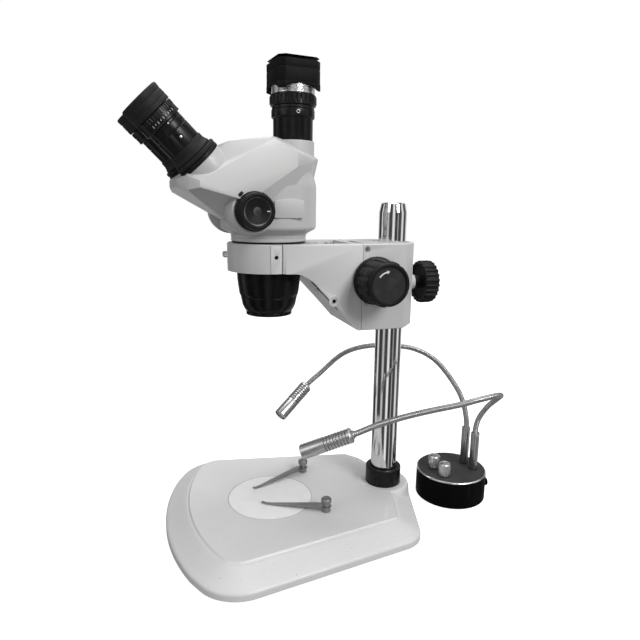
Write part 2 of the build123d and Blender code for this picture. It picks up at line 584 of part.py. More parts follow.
# ---------------------------------------------------------------- lamp base with its two arms
DIMMERS = [(-6.1, -21.8), (17.7, -20.3)]  # from the lamp base's middle
SLEEVES = [(-7.7, 23.8), (11.4, 25.5)]
with BuildPart() as lamp_base:
    add(lathe(LAMP_BASE, (41, 2.2), (44.1, 2.2), (44.1, 36), (43, PUCK_TOP), (0, PUCK_TOP), (0, 33.6), (41, 33.6)))
    with BuildSketch(LAMP_BASE.offset(30)):
        with Locations(*DIMMERS):
            Circle(3 + FIT)
        with Locations(*SLEEVES):
            Circle(4)
    extrude(amount=10, mode=Mode.SUBTRACT)
    with BuildSketch(Plane(origin=(PUCK[0] + 14, COLUMN_Y + PUCK[1], 18), x_dir=(1, 0, 0), z_dir=(0, 1, 0))):
        Circle(4)
    extrude(amount=50, mode=Mode.SUBTRACT)
save(lamp_base, "lamp_base")

with BuildPart() as lamp_base_bottom:
    add(lathe(LAMP_BASE, (0, 2), (41, 2), (41, 4.5), (0, 4.5)))
    with BuildSketch(LAMP_BASE):
        with PolarLocations(33, 3, start_angle=90):
            Circle(5)
    extrude(amount=2)
    with BuildSketch(LAMP_BASE.offset(4.5)):
        with GridLocations(40, 24, 2, 2):
            Circle(2.5)
    extrude(amount=7.5)
save(lamp_base_bottom, "lamp_base_bottom")

with BuildPart() as lamp_board:
    add(slab(LAMP_BASE.offset(12), 1.6, (-24, -16), (24, -16), (24, 16), (19, 30), (9, 30), (4, 16), (-24, 16)))
    add(slab(LAMP_BASE.offset(13.6), 8, (10, 26), (18, 26), (18, 35), (10, 35)))
    add(slab(LAMP_BASE.offset(13.6), 8, (9, -9), (19, -9), (19, 5), (9, 5)))
save(lamp_board, "lamp_board")

for (x, y), word in zip(DIMMERS, ("left", "right")):
    with BuildPart() as dimmer_knob:
        add(lathe(Plane(origin=LAMP_BASE.origin + Vector(x, y, 0)), (0, 30), (3, 30), (3, 37.9), (7.5, 37.9),
                  (7.5, 52.8), (6.7, 54), (0, 54)))
    save(dimmer_knob, f"dimmer_knob_{word}")

with BuildPart() as arm_sleeves:
    for x, y in SLEEVES:
        add(lathe(Plane(origin=LAMP_BASE.origin + Vector(x, y, 0)), (2, 33.6), (4, 33.6), (4, PUCK_TOP),
                  (5.3, PUCK_TOP), (5.3, 86.7), (4.6, 87.5), (NECK + FIT, 87.5), (NECK + FIT, 62), (2, 62)))
save(arm_sleeves, "arm_sleeves")

# each arm as points from the column's axis; it is divided at its bend
LEFT_LOWER = [(5.3, 114.8, 62.4), (5.3, 114.8, 94), (2, 108.8, 123), (-6, 101, 142.4), (-25, 80.4, 172.6),
              (-42, 59.3, 184.5), (-53, 35, 188)]
LEFT_UPPER = [(-61, 8.5, 188.4), (-67, -18.4, 183.6), (-72, -36, 174.4), (-78, -62, 150)]
RIGHT_LOWER = [(24.4, 116.5, 62.4), (24.4, 116.5, 94), (26, 119, 107), (33, 125, 124), (46, 127.6, 138),
               (62, 122, 149.5), (87, 76.2, 157.5)]
RIGHT_UPPER = [(91.5, 51.3, 156.2), (92.5, 6.7, 152.4), (92, -25, 148), (91, -52, 142.3)]
LAMP_LEFT = ((-80, -80, 133.7), (-57, -121.7, 104.3))
LAMP_RIGHT = ((90, -77.8, 134.6), (66, -126.4, 110.4))


def shifted(point):
    return Vector(point[0], point[1] + COLUMN_Y, point[2])


def bent_rod(points, radius=9):
    """A round rod through the points, straight runs joined by tangent arcs."""
    spots = [shifted(p) for p in points]
    with BuildPart() as rod:
        with BuildLine() as path:
            FilletPolyline(*spots, radius=radius)
        with BuildSketch(Plane(origin=spots[0], z_dir=spots[1] - spots[0])):
            Circle(NECK)
        sweep()
    return rod.part


def along_lamp(lamp, distance):
    """A point on a lamp's axis, measured forward from its rear."""
    rear, tip = Vector(*lamp[0]), Vector(*lamp[1])
    spot = rear + (tip - rear).normalized() * distance
    return (spot.X, spot.Y, spot.Z)


for lower, upper, lamp, word in ((LEFT_LOWER, LEFT_UPPER, LAMP_LEFT, "left"),
                                 (RIGHT_LOWER, RIGHT_UPPER, LAMP_RIGHT, "right")):
    bend = Vector(*lower[-1])
    start = bend + (Vector(*upper[0]) - bend).normalized() * (NECK + 0.4)
    with BuildPart() as arm_lower:
        add(bent_rod(lower))
        with Locations(shifted(lower[-1])):
            Sphere(NECK)
    save(arm_lower, f"lamp_arm_{word}_lower")
    with BuildPart() as arm_upper:
        add(bent_rod([(start.X, start.Y, start.Z)] + upper + [along_lamp(lamp, -4), along_lamp(lamp, 9)], radius=6))
    save(arm_upper, f"lamp_arm_{word}_upper")
    rear, tip = shifted(lamp[0]), shifted(lamp[1])
    long = (tip - rear).length
    nose = Plane(origin=rear, z_dir=tip - rear)
    with BuildPart() as lamp_head:
        add(lathe(nose, (NECK, 0.5), (6.2, 0.5), (LAMP_R, 3), (LAMP_R, long - 1), (LAMP_R - 0.8, long), (7.2, long),
                  (7.2, long - 5), (0, long - 5), (0, 9), (NECK, 9)))
    save(lamp_head, f"lamp_head_{word}")
    with BuildPart() as lamp_lens:
        add(lathe(nose, (0, long - 5), (7.2, long - 5), (7.2, long - 2.6), (3.6, long - 1.5), (0, long - 1.1)))
    save(lamp_lens, f"lamp_lens_{word}")
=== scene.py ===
"""A stereo microscope on a pillar stand, with a small lamp base and two bendable lamps."""

import math

import bmesh
import bpy
from mathutils import Matrix, Vector


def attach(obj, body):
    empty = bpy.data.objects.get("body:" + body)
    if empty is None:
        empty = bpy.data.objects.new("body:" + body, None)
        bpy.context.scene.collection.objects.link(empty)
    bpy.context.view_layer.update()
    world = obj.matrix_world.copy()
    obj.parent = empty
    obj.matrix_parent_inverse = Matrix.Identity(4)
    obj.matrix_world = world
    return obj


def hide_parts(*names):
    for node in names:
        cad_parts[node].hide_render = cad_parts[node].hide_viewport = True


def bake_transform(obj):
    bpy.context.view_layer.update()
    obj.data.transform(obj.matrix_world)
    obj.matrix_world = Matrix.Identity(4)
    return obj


bl_info = {
    "name": "Stereo microscope",
    "version": (1, 0, 0),
    "blender": (4, 5, 0),
    "location": "3D View > Sidebar > Microscope",
    "description": "Builds a stereo microscope on a pillar stand round its packed frame",
    "category": "Object",
}

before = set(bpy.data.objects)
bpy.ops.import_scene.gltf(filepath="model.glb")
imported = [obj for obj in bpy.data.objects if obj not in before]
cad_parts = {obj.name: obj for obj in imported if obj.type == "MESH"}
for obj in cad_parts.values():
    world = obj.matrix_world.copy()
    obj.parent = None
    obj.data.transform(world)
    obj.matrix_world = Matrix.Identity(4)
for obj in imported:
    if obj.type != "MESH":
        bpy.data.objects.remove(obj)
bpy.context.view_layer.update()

# ---------------------------------------------------------------- places and directions, in millimetres
COLUMN_Y, OPTIC_Y, TURN, PORT_Y = 80.8, -66.6, math.radians(7), 28.3
KNOB_Y, KNOB_Z = -38.5, 290.5  # focus shaft, from the column's axis
ZOOM_Y, ZOOM_Z = -32.5, 363.6  # zoom shaft, from the optical axis
EYE_X, EYE_SWING = 26.8, 4.5  # half the space between the eyepieces; out to a tube's swing axis
BASE_TOP = 26.0
NECK_R, NECK_ROOT = 3.4, 2.95  # a bendable arm's ridges and grooves
HALVES = ((1, "right"), (-1, "left"))
X, Y, Z = Vector((1, 0, 0)), Vector((0, 1, 0)), Vector((0, 0, 1))


def within(parent, origin, along=Z, across=X):
    """A matrix for a piece whose own z runs along and whose own x runs across."""
    z = Vector(along).normalized()
    x = Vector(across)
    x = (x - z * x.dot(z)).normalized()
    turned = Matrix((x, z.cross(x), z)).transposed().to_4x4()
    turned.translation = Vector(origin)
    return parent @ turned


ROOT = Matrix.Scale(0.001, 4)
COLUMN = within(ROOT, (0, COLUMN_Y, 0))
OPTIC = within(ROOT, (0, OPTIC_Y, 0))
HEAD = within(ROOT, (0, OPTIC_Y, 0), Z, (math.cos(TURN), math.sin(TURN), 0))
PORT = within(HEAD, (0, PORT_Y, 0))
PUCK = within(ROOT, (13, COLUMN_Y + 91, 0))


def hub(parent, y, z, hand):
    """Looks outward along a cross shaft, on the right for 1 and on the left for -1."""
    return within(parent, (0, y, z), (hand, 0, 0), Y)


def eye(hand, shift=0.0):
    """Looks down an eyepiece from its open end."""
    return within(HEAD, (hand * (EYE_X + shift), -132.8, 463.4), (0, 1, -1), X)


# ---------------------------------------------------------------- shapes
def settle(bm, shape, where, coat=0, outward=True):
    """Merges a finished shape into a piece, faces outward, and frees it."""
    bmesh.ops.remove_doubles(shape, verts=shape.verts, dist=1e-4)
    if outward:
        bmesh.ops.recalc_face_normals(shape, faces=shape.faces)
    for face in shape.faces:
        face.material_index = coat
        face.smooth = True
    bmesh.ops.transform(shape, matrix=where, verts=shape.verts)
    spare = bpy.data.meshes.new("spare")
    shape.to_mesh(spare)
    shape.free()
    bm.from_mesh(spare)
    bpy.data.meshes.remove(spare)


def soften(outline, radius, shut):
    """An outline with each corner cut back into a short curve."""
    points = [Vector((r, 0, z)) for r, z in outline]
    count = len(points)
    soft = []
    for i, point in enumerate(points):
        if not shut and i in (0, count - 1):
            soft.append(point)
            continue
        before, after = points[i - 1] - point, points[(i + 1) % count] - point
        cut = min(radius, before.length * 0.45, after.length * 0.45)
        if point.x < 1e-6 or cut < 1e-4:
            soft.append(point)
            continue
        a, b = point + before.normalized() * cut, point + after.normalized() * cut
        for t in (0.0, 0.33, 0.67, 1.0):
            soft.append(a * (1 - t) ** 2 + point * 2 * t * (1 - t) + b * t * t)
    return soft


def lathe(bm, where, outline, coat=0, soft=0.35, steps=72):
    """A turned shape from (radius, height) points; it is closed unless it ends on the axis."""
    shape = bmesh.new()
    shut = not (outline[0][0] == 0 and outline[-1][0] == 0)
    verts = [shape.verts.new(p) for p in soften(outline, soft, shut)]
    edges = [shape.edges.new(pair) for pair in zip(verts, verts[1:])]
    if shut:
        edges.append(shape.edges.new((verts[-1], verts[0])))
    bmesh.ops.spin(shape, geom=verts + edges, cent=(0, 0, 0), axis=(0, 0, 1), dvec=(0, 0, 0),
                   angle=2 * math.pi, steps=steps, use_merge=True, use_duplicate=False)
    settle(bm, shape, where, coat)


def drawn(bm, where, rings, steps, coat=0):
    """A closed shape from rings of (radius or a function of the angle, height)."""
    shape = bmesh.new()
    made = bmesh.ops.create_circle(shape, cap_ends=False, segments=steps, radius=1.0)
    verts = made["verts"]
    edges = list(shape.edges)
    for i, (radius, height) in enumerate(rings):
        if i:
            made = bmesh.ops.extrude_edge_only(shape, edges=edges)["geom"]
            verts = [g for g in made if isinstance(g, bmesh.types.BMVert)]
            new = set(verts)
            edges = [g for g in made if isinstance(g, bmesh.types.BMEdge)
                     and g.verts[0] in new and g.verts[1] in new]
        for vert in verts:
            angle = math.atan2(vert.co.y, vert.co.x)
            r = radius(angle) if callable(radius) else radius
            vert.co = (r * math.cos(angle), r * math.sin(angle), height)
    bmesh.ops.holes_fill(shape, edges=[e for e in shape.edges if e.is_boundary], sides=0)
    settle(bm, shape, where, coat)


def round_edges(shape, edges, width, segments):
    """Turns sharp edges into narrow curved ones."""
    bmesh.ops.bevel(shape, geom=edges, offset=width, offset_type="OFFSET", segments=segments, profile=0.5,
                    affect="EDGES", clamp_overlap=True, material=-1)


def prism(bm, where, points, low, high, coat=0, bevel=0.3, segments=2):
    """An outline in its own x and y, pushed from one height to another and softened."""
    shape = bmesh.new()
    face = shape.faces.new([shape.verts.new((x, y, low)) for x, y in points])
    made = bmesh.ops.extrude_face_region(shape, geom=[face])["geom"]
    bmesh.ops.translate(shape, vec=(0, 0, high - low), verts=[g for g in made if isinstance(g, bmesh.types.BMVert)])
    if bevel:
        sharp = [e for e in shape.edges if e.calc_face_angle(0) > math.radians(28)]
        round_edges(shape, sharp, bevel, segments)
    settle(bm, shape, where, coat)


def block(bm, where, size, centre, coat=0, bevel=0.3):
    """A small softened block."""
    w, d, h = (s / 2 for s in size)
    x, y, z = centre
    prism(bm, where, [(x - w, y - d), (x + w, y - d), (x + w, y + d), (x - w, y + d)], z - h, z + h, coat, bevel)


def hewn(bm, where, cuts, centre, wide=4.0, narrow=0.7, fine=(), coat=0):
    """A solid cut by planes; its edges are rounded, except those of the fine planes, which stay crisp."""
    shape = bmesh.new()
    bmesh.ops.create_cube(shape, size=300, matrix=Matrix.Translation(centre))
    for point, normal in cuts:
        whole = shape.verts[:] + shape.edges[:] + shape.faces[:]
        cut = bmesh.ops.bisect_plane(shape, geom=whole, dist=1e-4, plane_co=point, plane_no=normal, clear_outer=True)
        rim = [g for g in cut["geom_cut"] if isinstance(g, bmesh.types.BMEdge)]
        if rim:
            bmesh.ops.contextual_create(shape, geom=rim)
    bmesh.ops.remove_doubles(shape, verts=shape.verts, dist=1e-3)
    bmesh.ops.recalc_face_normals(shape, faces=shape.faces)
    crisp = [Vector(cuts[i][1]).normalized() for i in fine]

    def is_fine(edge):
        return any(face.normal.dot(n) > 0.9999 for face in edge.link_faces for n in crisp)

    soft = [e for e in shape.edges if not is_fine(e) and e.calc_face_angle(0) > math.radians(4)]
    round_edges(shape, soft, wide, 5)
    sharp = [e for e in shape.edges if e.calc_face_angle(0) > math.radians(16)]
    round_edges(shape, sharp, narrow, 3)
    settle(bm, shape, where, coat)


def flutes(high, low, count, share=0.55, soft=0.25):
    """A radius that stands high on each rib and drops between ribs."""
    def radius(angle):
        t = (angle * count / (2 * math.pi)) % 1.0
        edge = min(abs(t - 0.5 * share), abs(t), abs(t - share), abs(t - 1))
        inside = t < share
        d = min(t, share - t) if inside else 0.0
        return low + (high - low) * min(1.0, d / (soft * share)) ** 0.6 if inside else low
    return radius


def piece(name, bm, coats, body, slot, *nodes, crease=38):
    """Makes the finished object, with its materials, its body and the nodes it stands for."""
    mesh = bpy.data.meshes.new(name)
    bm.to_mesh(mesh)
    bm.free()
    for coat in coats:
        mesh.materials.append(finish(coat))
    mesh.set_sharp_from_angle(angle=math.radians(crease))
    obj = bpy.data.objects.new(name, mesh)
    bpy.context.scene.collection.objects.link(obj)
    if body:
        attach(obj, body)
    if nodes:
        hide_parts(*nodes)
    return obj


def bevelled(name, node, width, coats, body, slot, extra=None, angle=24, segments=3):
    """A casting: the node's own shape with its edges rounded, and any added details."""
    bm = bmesh.new()
    bm.from_mesh(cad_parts[node].data)
    bmesh.ops.remove_doubles(bm, verts=bm.verts, dist=2e-6)
    bmesh.ops.dissolve_limit(bm, angle_limit=math.radians(0.6), use_dissolve_boundaries=False,
                             verts=bm.verts, edges=bm.edges)
    bmesh.ops.recalc_face_normals(bm, faces=bm.faces)
    sharp = [e for e in bm.edges if len(e.link_faces) == 2 and e.calc_face_angle(0) > math.radians(angle)]
    round_edges(bm, sharp, width / 1000, segments)
    for face in bm.faces:
        face.smooth = True
        face.material_index = 0
    if extra:
        extra(bm)
    return piece(name, bm, coats, body, slot, node, crease=30)


# ---------------------------------------------------------------- shader groups
def new_group(name, inputs, outputs):
    """An empty shader group with its sockets; inputs are (kind, name, value)."""
    group = bpy.data.node_groups.new(name, "ShaderNodeTree")
    for kind, label, value in inputs:
        socket = group.interface.new_socket(name=label, in_out="INPUT", socket_type="NodeSocket" + kind)
        if value is not None:
            socket.default_value = value
    for kind, label in outputs:
        group.interface.new_socket(name=label, in_out="OUTPUT", socket_type="NodeSocket" + kind)
    return group, group.nodes.new("NodeGroupInput"), group.nodes.new("NodeGroupOutput")


def node(tree, kind, links=(), **values):
    """A node with its settings, and (socket, source) links into it."""
    made = tree.nodes.new("ShaderNode" + kind)
    for key, value in values.items():
        setattr(made, key, value)
    for socket, source in links:
        if hasattr(source, "is_linked"):
            tree.links.new(source, made.inputs[socket])
        else:
            made.inputs[socket].default_value = source
    return made


def mix_colour(tree, factor, a, b):
    """Mixes two colours by a mask and gives the colour output."""
    made = tree.nodes.new("ShaderNodeMix")
    made.data_type = "RGBA"
    sockets = {s.identifier: s for s in made.inputs}
    for key, source in (("Factor_Float", factor), ("A_Color", a), ("B_Color", b)):
        if hasattr(source, "is_linked"):
            tree.links.new(source, sockets[key])
        else:
            sockets[key].default_value = source
    return next(s for s in made.outputs if s.identifier == "Result_Color")


def give(group, out, colour, rough, bump):
    """Joins a group's results to its outputs."""
    group.links.new(colour, out.inputs["Colour"])
    group.links.new(rough.outputs[0], out.inputs["Roughness"])
    group.links.new(bump.outputs["Normal"], out.inputs["Normal"])
    return group


def make_cast_skin():
    """Sprayed paint: faint mottling, dark specks, pale worn edges and orange-peel relief."""
    g, i, o = new_group("Sprayed paint", [
        ("Color", "Paint", (0.6, 0.6, 0.6, 1)), ("Color", "Shade", (0.5, 0.5, 0.5, 1)),
        ("Color", "Speck", (0.1, 0.1, 0.1, 1)), ("Float", "Gloss", 0.35), ("Float", "Relief", 0.2),
        ("Float", "Grain", 900.0), ("Float", "Specks", 0.5)],
        [("Color", "Colour"), ("Float", "Roughness"), ("Vector", "Normal")])
    place = node(g, "TexCoord").outputs["Object"]
    cloud = node(g, "TexNoise", [("Vector", place), ("Scale", 14.0), ("Detail", 3.0)])
    tone = mix_colour(g, cloud.outputs["Fac"], i.outputs["Paint"], i.outputs["Shade"])
    dots = node(g, "TexNoise", [("Vector", place), ("Scale", 620.0), ("Detail", 2.0)])
    spots = node(g, "MapRange", [("Value", dots.outputs["Fac"]), ("From Min", 0.69), ("From Max", 0.75)])
    spots = node(g, "Math", [(0, spots.outputs["Result"]), (1, i.outputs["Specks"])], operation="MULTIPLY")
    speckled = mix_colour(g, spots.outputs[0], tone, i.outputs["Speck"])
    worn = node(g, "MapRange", [("Value", node(g, "NewGeometry").outputs["Pointiness"]),
                                ("From Min", 0.53), ("From Max", 0.62), ("To Max", 0.35)])
    edged = mix_colour(g, worn.outputs["Result"], speckled, (0.86, 0.86, 0.85, 1))
    rough = node(g, "MapRange", [("Value", cloud.outputs["Fac"]), ("From Min", 0.3), ("From Max", 0.7),
                                 ("To Min", 0.0), ("To Max", 0.14)])
    rough = node(g, "Math", [(0, rough.outputs["Result"]), (1, i.outputs["Gloss"])], operation="ADD")
    peel = node(g, "TexNoise", [("Vector", place), ("Scale", i.outputs["Grain"]), ("Detail", 2.0)])
    bump = node(g, "Bump", [("Height", peel.outputs["Fac"]), ("Strength", i.outputs["Relief"]), ("Distance", 0.0004)])
    return give(g, o, edged, rough, bump)


def make_turned_metal():
    """Machined metal: fine tool lines along one direction and faint smudges."""
    g, i, o = new_group("Machined metal", [
        ("Color", "Metal", (0.6, 0.6, 0.6, 1)), ("Color", "Tarnish", (0.4, 0.4, 0.4, 1)),
        ("Vector", "Lines", (40.0, 40.0, 2500.0)), ("Float", "Polish", 0.2), ("Float", "Relief", 0.15)],
        [("Color", "Colour"), ("Float", "Roughness"), ("Vector", "Normal")])
    place = node(g, "TexCoord").outputs["Object"]
    stretched = node(g, "VectorMath", [(0, place), (1, i.outputs["Lines"])], operation="MULTIPLY")
    lines = node(g, "TexNoise", [("Vector", stretched.outputs[0]), ("Scale", 1.0), ("Detail", 4.0)])
    smudge = node(g, "TexNoise", [("Vector", place), ("Scale", 45.0), ("Detail", 4.0)])
    colour = mix_colour(g, smudge.outputs["Fac"], i.outputs["Metal"], i.outputs["Tarnish"])
    rough = node(g, "MapRange", [("Value", smudge.outputs["Fac"]), ("From Min", 0.35), ("From Max", 0.7),
                                 ("To Min", 0.0), ("To Max", 0.12)])
    rough = node(g, "Math", [(0, rough.outputs["Result"]), (1, i.outputs["Polish"])], operation="ADD")
    bump = node(g, "Bump", [("Height", lines.outputs["Fac"]), ("Strength", i.outputs["Relief"]),
                            ("Distance", 0.0002)])
    return give(g, o, colour, rough, bump)


def make_moulded():
    """Moulded plastic or rubber: fine pitting, greyed worn edges, lighter cloudy patches and dust that settles on
    top; on the zoom caps the patches are a painted sheen.
    """
    g, i, o = new_group("Moulded", [
        ("Color", "Body", (0.02, 0.02, 0.02, 1)), ("Color", "Wear and sheen", (0.12, 0.12, 0.12, 1)),
        ("Float", "Dust", 0.1), ("Float", "Sheen", 0.45), ("Float", "Pits", 1500.0), ("Float", "Relief", 0.3),
        ("Float", "Cloud", 0.1)],
        [("Color", "Colour"), ("Float", "Roughness"), ("Vector", "Normal")])
    place = node(g, "TexCoord").outputs["Object"]
    geometry = node(g, "NewGeometry")
    cloud = node(g, "TexNoise", [("Vector", place), ("Scale", 70.0), ("Detail", 5.0)])
    worn = node(g, "MapRange", [("Value", geometry.outputs["Pointiness"]), ("From Min", 0.54), ("From Max", 0.64),
                                ("To Max", 0.6)])
    scuffed = node(g, "Math", [(0, worn.outputs["Result"]), (1, cloud.outputs["Fac"])], operation="MULTIPLY")
    # lighter cloudy patches by the Cloud amount: random tone, and on the painted sheen cap a painted sheen
    tone_and_sheen_patches = node(g, "MapRange", [("Value", cloud.outputs["Fac"]), ("From Min", 0.45), ("From Max", 0.7)])
    tone_and_sheen_patches = node(g, "Math", [(0, tone_and_sheen_patches.outputs["Result"]), (1, i.outputs["Cloud"])], operation="MULTIPLY")
    marked = node(g, "Math", [(0, scuffed.outputs[0]), (1, tone_and_sheen_patches.outputs[0])], operation="MAXIMUM")
    body = mix_colour(g, marked.outputs[0], i.outputs["Body"], i.outputs["Wear and sheen"])
    parts = node(g, "SeparateXYZ", [(0, geometry.outputs["Normal"])])
    level = node(g, "MapRange", [("Value", parts.outputs["Z"]), ("From Min", 0.3), ("From Max", 1.0)])
    dusty = node(g, "Math", [(0, level.outputs["Result"]), (1, cloud.outputs["Fac"])], operation="MULTIPLY")
    dusty = node(g, "Math", [(0, dusty.outputs[0]), (1, i.outputs["Dust"])], operation="MULTIPLY")
    colour = mix_colour(g, dusty.outputs[0], body, (0.45, 0.45, 0.44, 1))
    rough = node(g, "MapRange", [("Value", cloud.outputs["Fac"]), ("From Min", 0.3), ("From Max", 0.7),
                                 ("To Min", -0.04), ("To Max", 0.12)])
    rough = node(g, "Math", [(0, rough.outputs["Result"]), (1, i.outputs["Sheen"])], operation="ADD")
    pits = node(g, "TexNoise", [("Vector", place), ("Scale", i.outputs["Pits"]), ("Detail", 3.0)])
    bump = node(g, "Bump", [("Height", pits.outputs["Fac"]), ("Strength", i.outputs["Relief"]), ("Distance", 0.0003)])
    return give(g, o, colour, rough, bump)


GROUPS = {"Sprayed paint": make_cast_skin, "Machined metal": make_turned_metal, "Moulded": make_moulded}


def grey(value):
    """A neutral colour."""
    return (value, value, value, 1)


# for each group: its value names, then each finish's values and the shader's own plain settings;
# a single number for a colour is a grey
TABLES = {
    "Sprayed paint": (("Paint", "Shade", "Speck", "Gloss", "Relief", "Grain", "Specks"), {
        "Head paint": ((0.53, 0.47, 0.3, 0.34, 0.1, 1300.0, 0.12), {"Coat Weight": 0.12}),
        "Arm paint": ((0.58, 0.5, 0.16, 0.38, 0.16, 1500.0, 0.25), {"Coat Weight": 0.1}),
        # a dark paint for a strip of painted shade under the arm
        "Painted shade": ((0.09, 0.06, 0.03, 0.5, 0.2, 1500.0, 0.3), {}),
        "Base paint": ((0.7, 0.62, 0.14, 0.36, 0.22, 1100.0, 0.6), {"Coat Weight": 0.1}),
    }),
    "Machined metal": (("Metal", "Tarnish", "Lines", "Polish", "Relief"), {
        "Pillar chrome": ((0.8, 0.68, (3.0, 3.0, 900.0), 0.04, 0.02), {"Metallic": 1.0}),
        "Flexible steel": ((0.44, 0.3, (200.0, 200.0, 200.0), 0.26, 0.01), {"Metallic": 1.0}),
        "Clip steel": ((0.34, 0.24, (900.0, 60.0, 900.0), 0.28, 0.02), {"Metallic": 1.0}),
        "Brushed steel": ((0.5, 0.38, (60.0, 60.0, 2600.0), 0.24, 0.02), {"Metallic": 1.0}),
        "Lamp steel": ((0.58, 0.48, (500.0, 500.0, 500.0), 0.3, 0.008), {"Metallic": 1.0}),
        "Turned aluminium": ((0.78, 0.64, (80.0, 80.0, 2600.0), 0.24, 0.02), {"Metallic": 1.0}),
        "Brass": (((0.7, 0.5, 0.22, 1), (0.45, 0.3, 0.12, 1), (60.0, 60.0, 2000.0), 0.25, 0.1), {"Metallic": 1.0}),
    }),
    "Moulded": (("Body", "Wear and sheen", "Dust", "Sheen", "Pits", "Relief", "Cloud"), {
        "Black anodised": ((0.006, 0.08, 0.015, 0.28, 2200.0, 0.06, 0.02), {"Specular IOR Level": 0.2}),
        "Gloss black": ((0.005, 0.05, 0.015, 0.3, 1800.0, 0.05, 0.03), {"Specular IOR Level": 0.22}),
        "Nose black": ((0.003, 0.06, 0.01, 0.24, 1800.0, 0.04, 0.01), {"Specular IOR Level": 0.16}),
        "Black plastic": ((0.008, 0.07, 0.03, 0.4, 1600.0, 0.2, 0.04), {"Specular IOR Level": 0.16}),
        "Camera black": ((0.005, 0.04, 0.01, 0.5, 2400.0, 0.25, 0.05), {"Specular IOR Level": 0.08}),
        "Soft rubber": ((0.01, 0.05, 0.05, 0.58, 1400.0, 0.35, 0.08), {"Specular IOR Level": 0.25}),
        "Satin cap": ((0.016, 0.12, 0.05, 0.36, 700.0, 0.1, 0.1), {"Specular IOR Level": 0.4}),
        # its pale cloudy patches are a painted sheen on the zoom caps
        "Painted sheen cap": ((0.012, 0.3, 0.0, 0.34, 260.0, 0.06, 0.55), {"Specular IOR Level": 0.5}),
        "Lamp case": ((0.002, 0.04, 0.01, 0.5, 2600.0, 0.25, 0.0), {"Specular IOR Level": 0.05}),
        "Lamp lid": ((0.03, 0.1, 0.03, 0.46, 2600.0, 0.25, 0.1), {"Specular IOR Level": 0.15}),
        "White plate": ((0.82, 0.7, 0.0, 0.42, 500.0, 0.08, 0.25), {"Coat Weight": 0.1}),
        "White mark": ((0.75, 0.6, 0.1, 0.5, 900.0, 0.1, 0.2), {}),
        "Bore shadow": ((0.003, 0.01, 0.0, 0.7, 900.0, 0.1, 0.1), {"Specular IOR Level": 0.1}),
        "Circuit board": (((0.02, 0.11, 0.04, 1), (0.05, 0.2, 0.1, 1), 0.05, 0.4, 1200.0, 0.3, 0.3), {}),
        "Coated glass": (((0.05, 0.07, 0.12, 1), 0.2, 0.0, 0.05, 60.0, 0.02, 0.1), {"Coat Weight": 1.0}),
        "Lamp glass": ((0.4, 0.8, 0.0, 0.08, 400.0, 0.1, 0.4), {"Coat Weight": 1.0}),
    }),
}


def finish(name):
    """The named material, made the first time it is asked for."""
    if name in bpy.data.materials:
        return bpy.data.materials[name]
    kind, labels, (values, plain) = next((kind, labels, rows[name]) for kind, (labels, rows) in TABLES.items()
                                         if name in rows)
    group = bpy.data.node_groups.get(kind) or GROUPS[kind]()
    material = bpy.data.materials.new(name)
    material.use_nodes = True
    tree = material.node_tree
    shader = next(n for n in tree.nodes if n.type == "BSDF_PRINCIPLED")
    skin = tree.nodes.new("ShaderNodeGroup")
    skin.node_tree = group
    for key, value in zip(labels, values):
        socket = skin.inputs[key]
        tone = socket.type == "RGBA" and not isinstance(value, tuple)
        socket.default_value = grey(value) if tone else value
    for key, value in plain.items():
        shader.inputs[key].default_value = value
    for source, target in (("Colour", "Base Color"), ("Roughness", "Roughness"), ("Normal", "Normal")):
        tree.links.new(skin.outputs[source], shader.inputs[target])
    return material


PLAIN_NODES = {
    "Pillar chrome": ["column", "column_cap"],
    "Black plastic": ["shaft_bushes", "lamp_base_bottom"],
    "Soft rubber": ["base_feet"],
    "Black anodised": ["adapter_barrel", "zoom_carriage", "collar_screws"],
    "Brushed steel": ["column_bush", "block_screws", "pinion_shaft", "dovetail_slide", "column_bolt",
                      "arm_screws", "zoom_shaft", "guide_rods"],
    "Brass": ["rack"],
    "Circuit board": ["lamp_board"],
    "Coated glass": ["objective_lens"],
}


class StandSizes(bpy.types.PropertyGroup):
    """Sizes of the stand's softened edges and marks."""
    edge: bpy.props.FloatProperty(name="Casting edge", description="Rounding of the castings' edges",
                                  default=0.0011, unit="LENGTH")
    plate_edge: bpy.props.FloatProperty(name="Plate edge", description="Rounding of the stage plate's edge",
                                        default=0.0006, unit="LENGTH")


class HeadSizes(bpy.types.PropertyGroup):
    """Sizes of the microscope head's softened edges and ribs."""
    soft_edge: bpy.props.FloatProperty(name="Soft edge", description="Rounding of the head's flowing edges",
                                       default=0.005, unit="LENGTH")
    crisp_edge: bpy.props.FloatProperty(name="Crisp edge", description="Rounding of the head's crisp edges",
                                        default=0.0008, unit="LENGTH")
    grip_pads: bpy.props.IntProperty(name="Grip pads", description="Raised pads round a focus knob", default=13)
    ring_ribs: bpy.props.IntProperty(name="Ring ribs", description="Flats round the camera's focus ring", default=30)


class LampSizes(bpy.types.PropertyGroup):
    """Sizes of the bendable lamps."""
    ridge: bpy.props.FloatProperty(name="Ridge pitch", description="From one ridge of an arm to the next",
                                   default=0.0019, unit="LENGTH")
    ribs: bpy.props.IntProperty(name="Cooling ribs", description="Ribs on a lamp's rear half", default=8)


class StageSizes(bpy.types.PropertyGroup):
    """The studio round the microscope."""
    floor_colour: bpy.props.FloatVectorProperty(name="Floor", description="Colour of the floor", subtype="COLOR",
                                                size=4, min=0, max=1, default=(0.55, 0.55, 0.55, 1))
    floor_size: bpy.props.FloatProperty(name="Floor size", description="Width of the floor", default=6.0,
                                        unit="LENGTH")


# ---------------------------------------------------------------- operators
class MICROSCOPE_OT_plain_nodes(bpy.types.Operator):
    """Gives every carried-over node its finish"""
    bl_idname = "microscope.plain_nodes"
    bl_label = "Frame finishes"

    def execute(self, context):
        for coat, names in PLAIN_NODES.items():
            for name in names:
                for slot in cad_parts[name].material_slots:
                    slot.material = finish(coat)
        return {"FINISHED"}


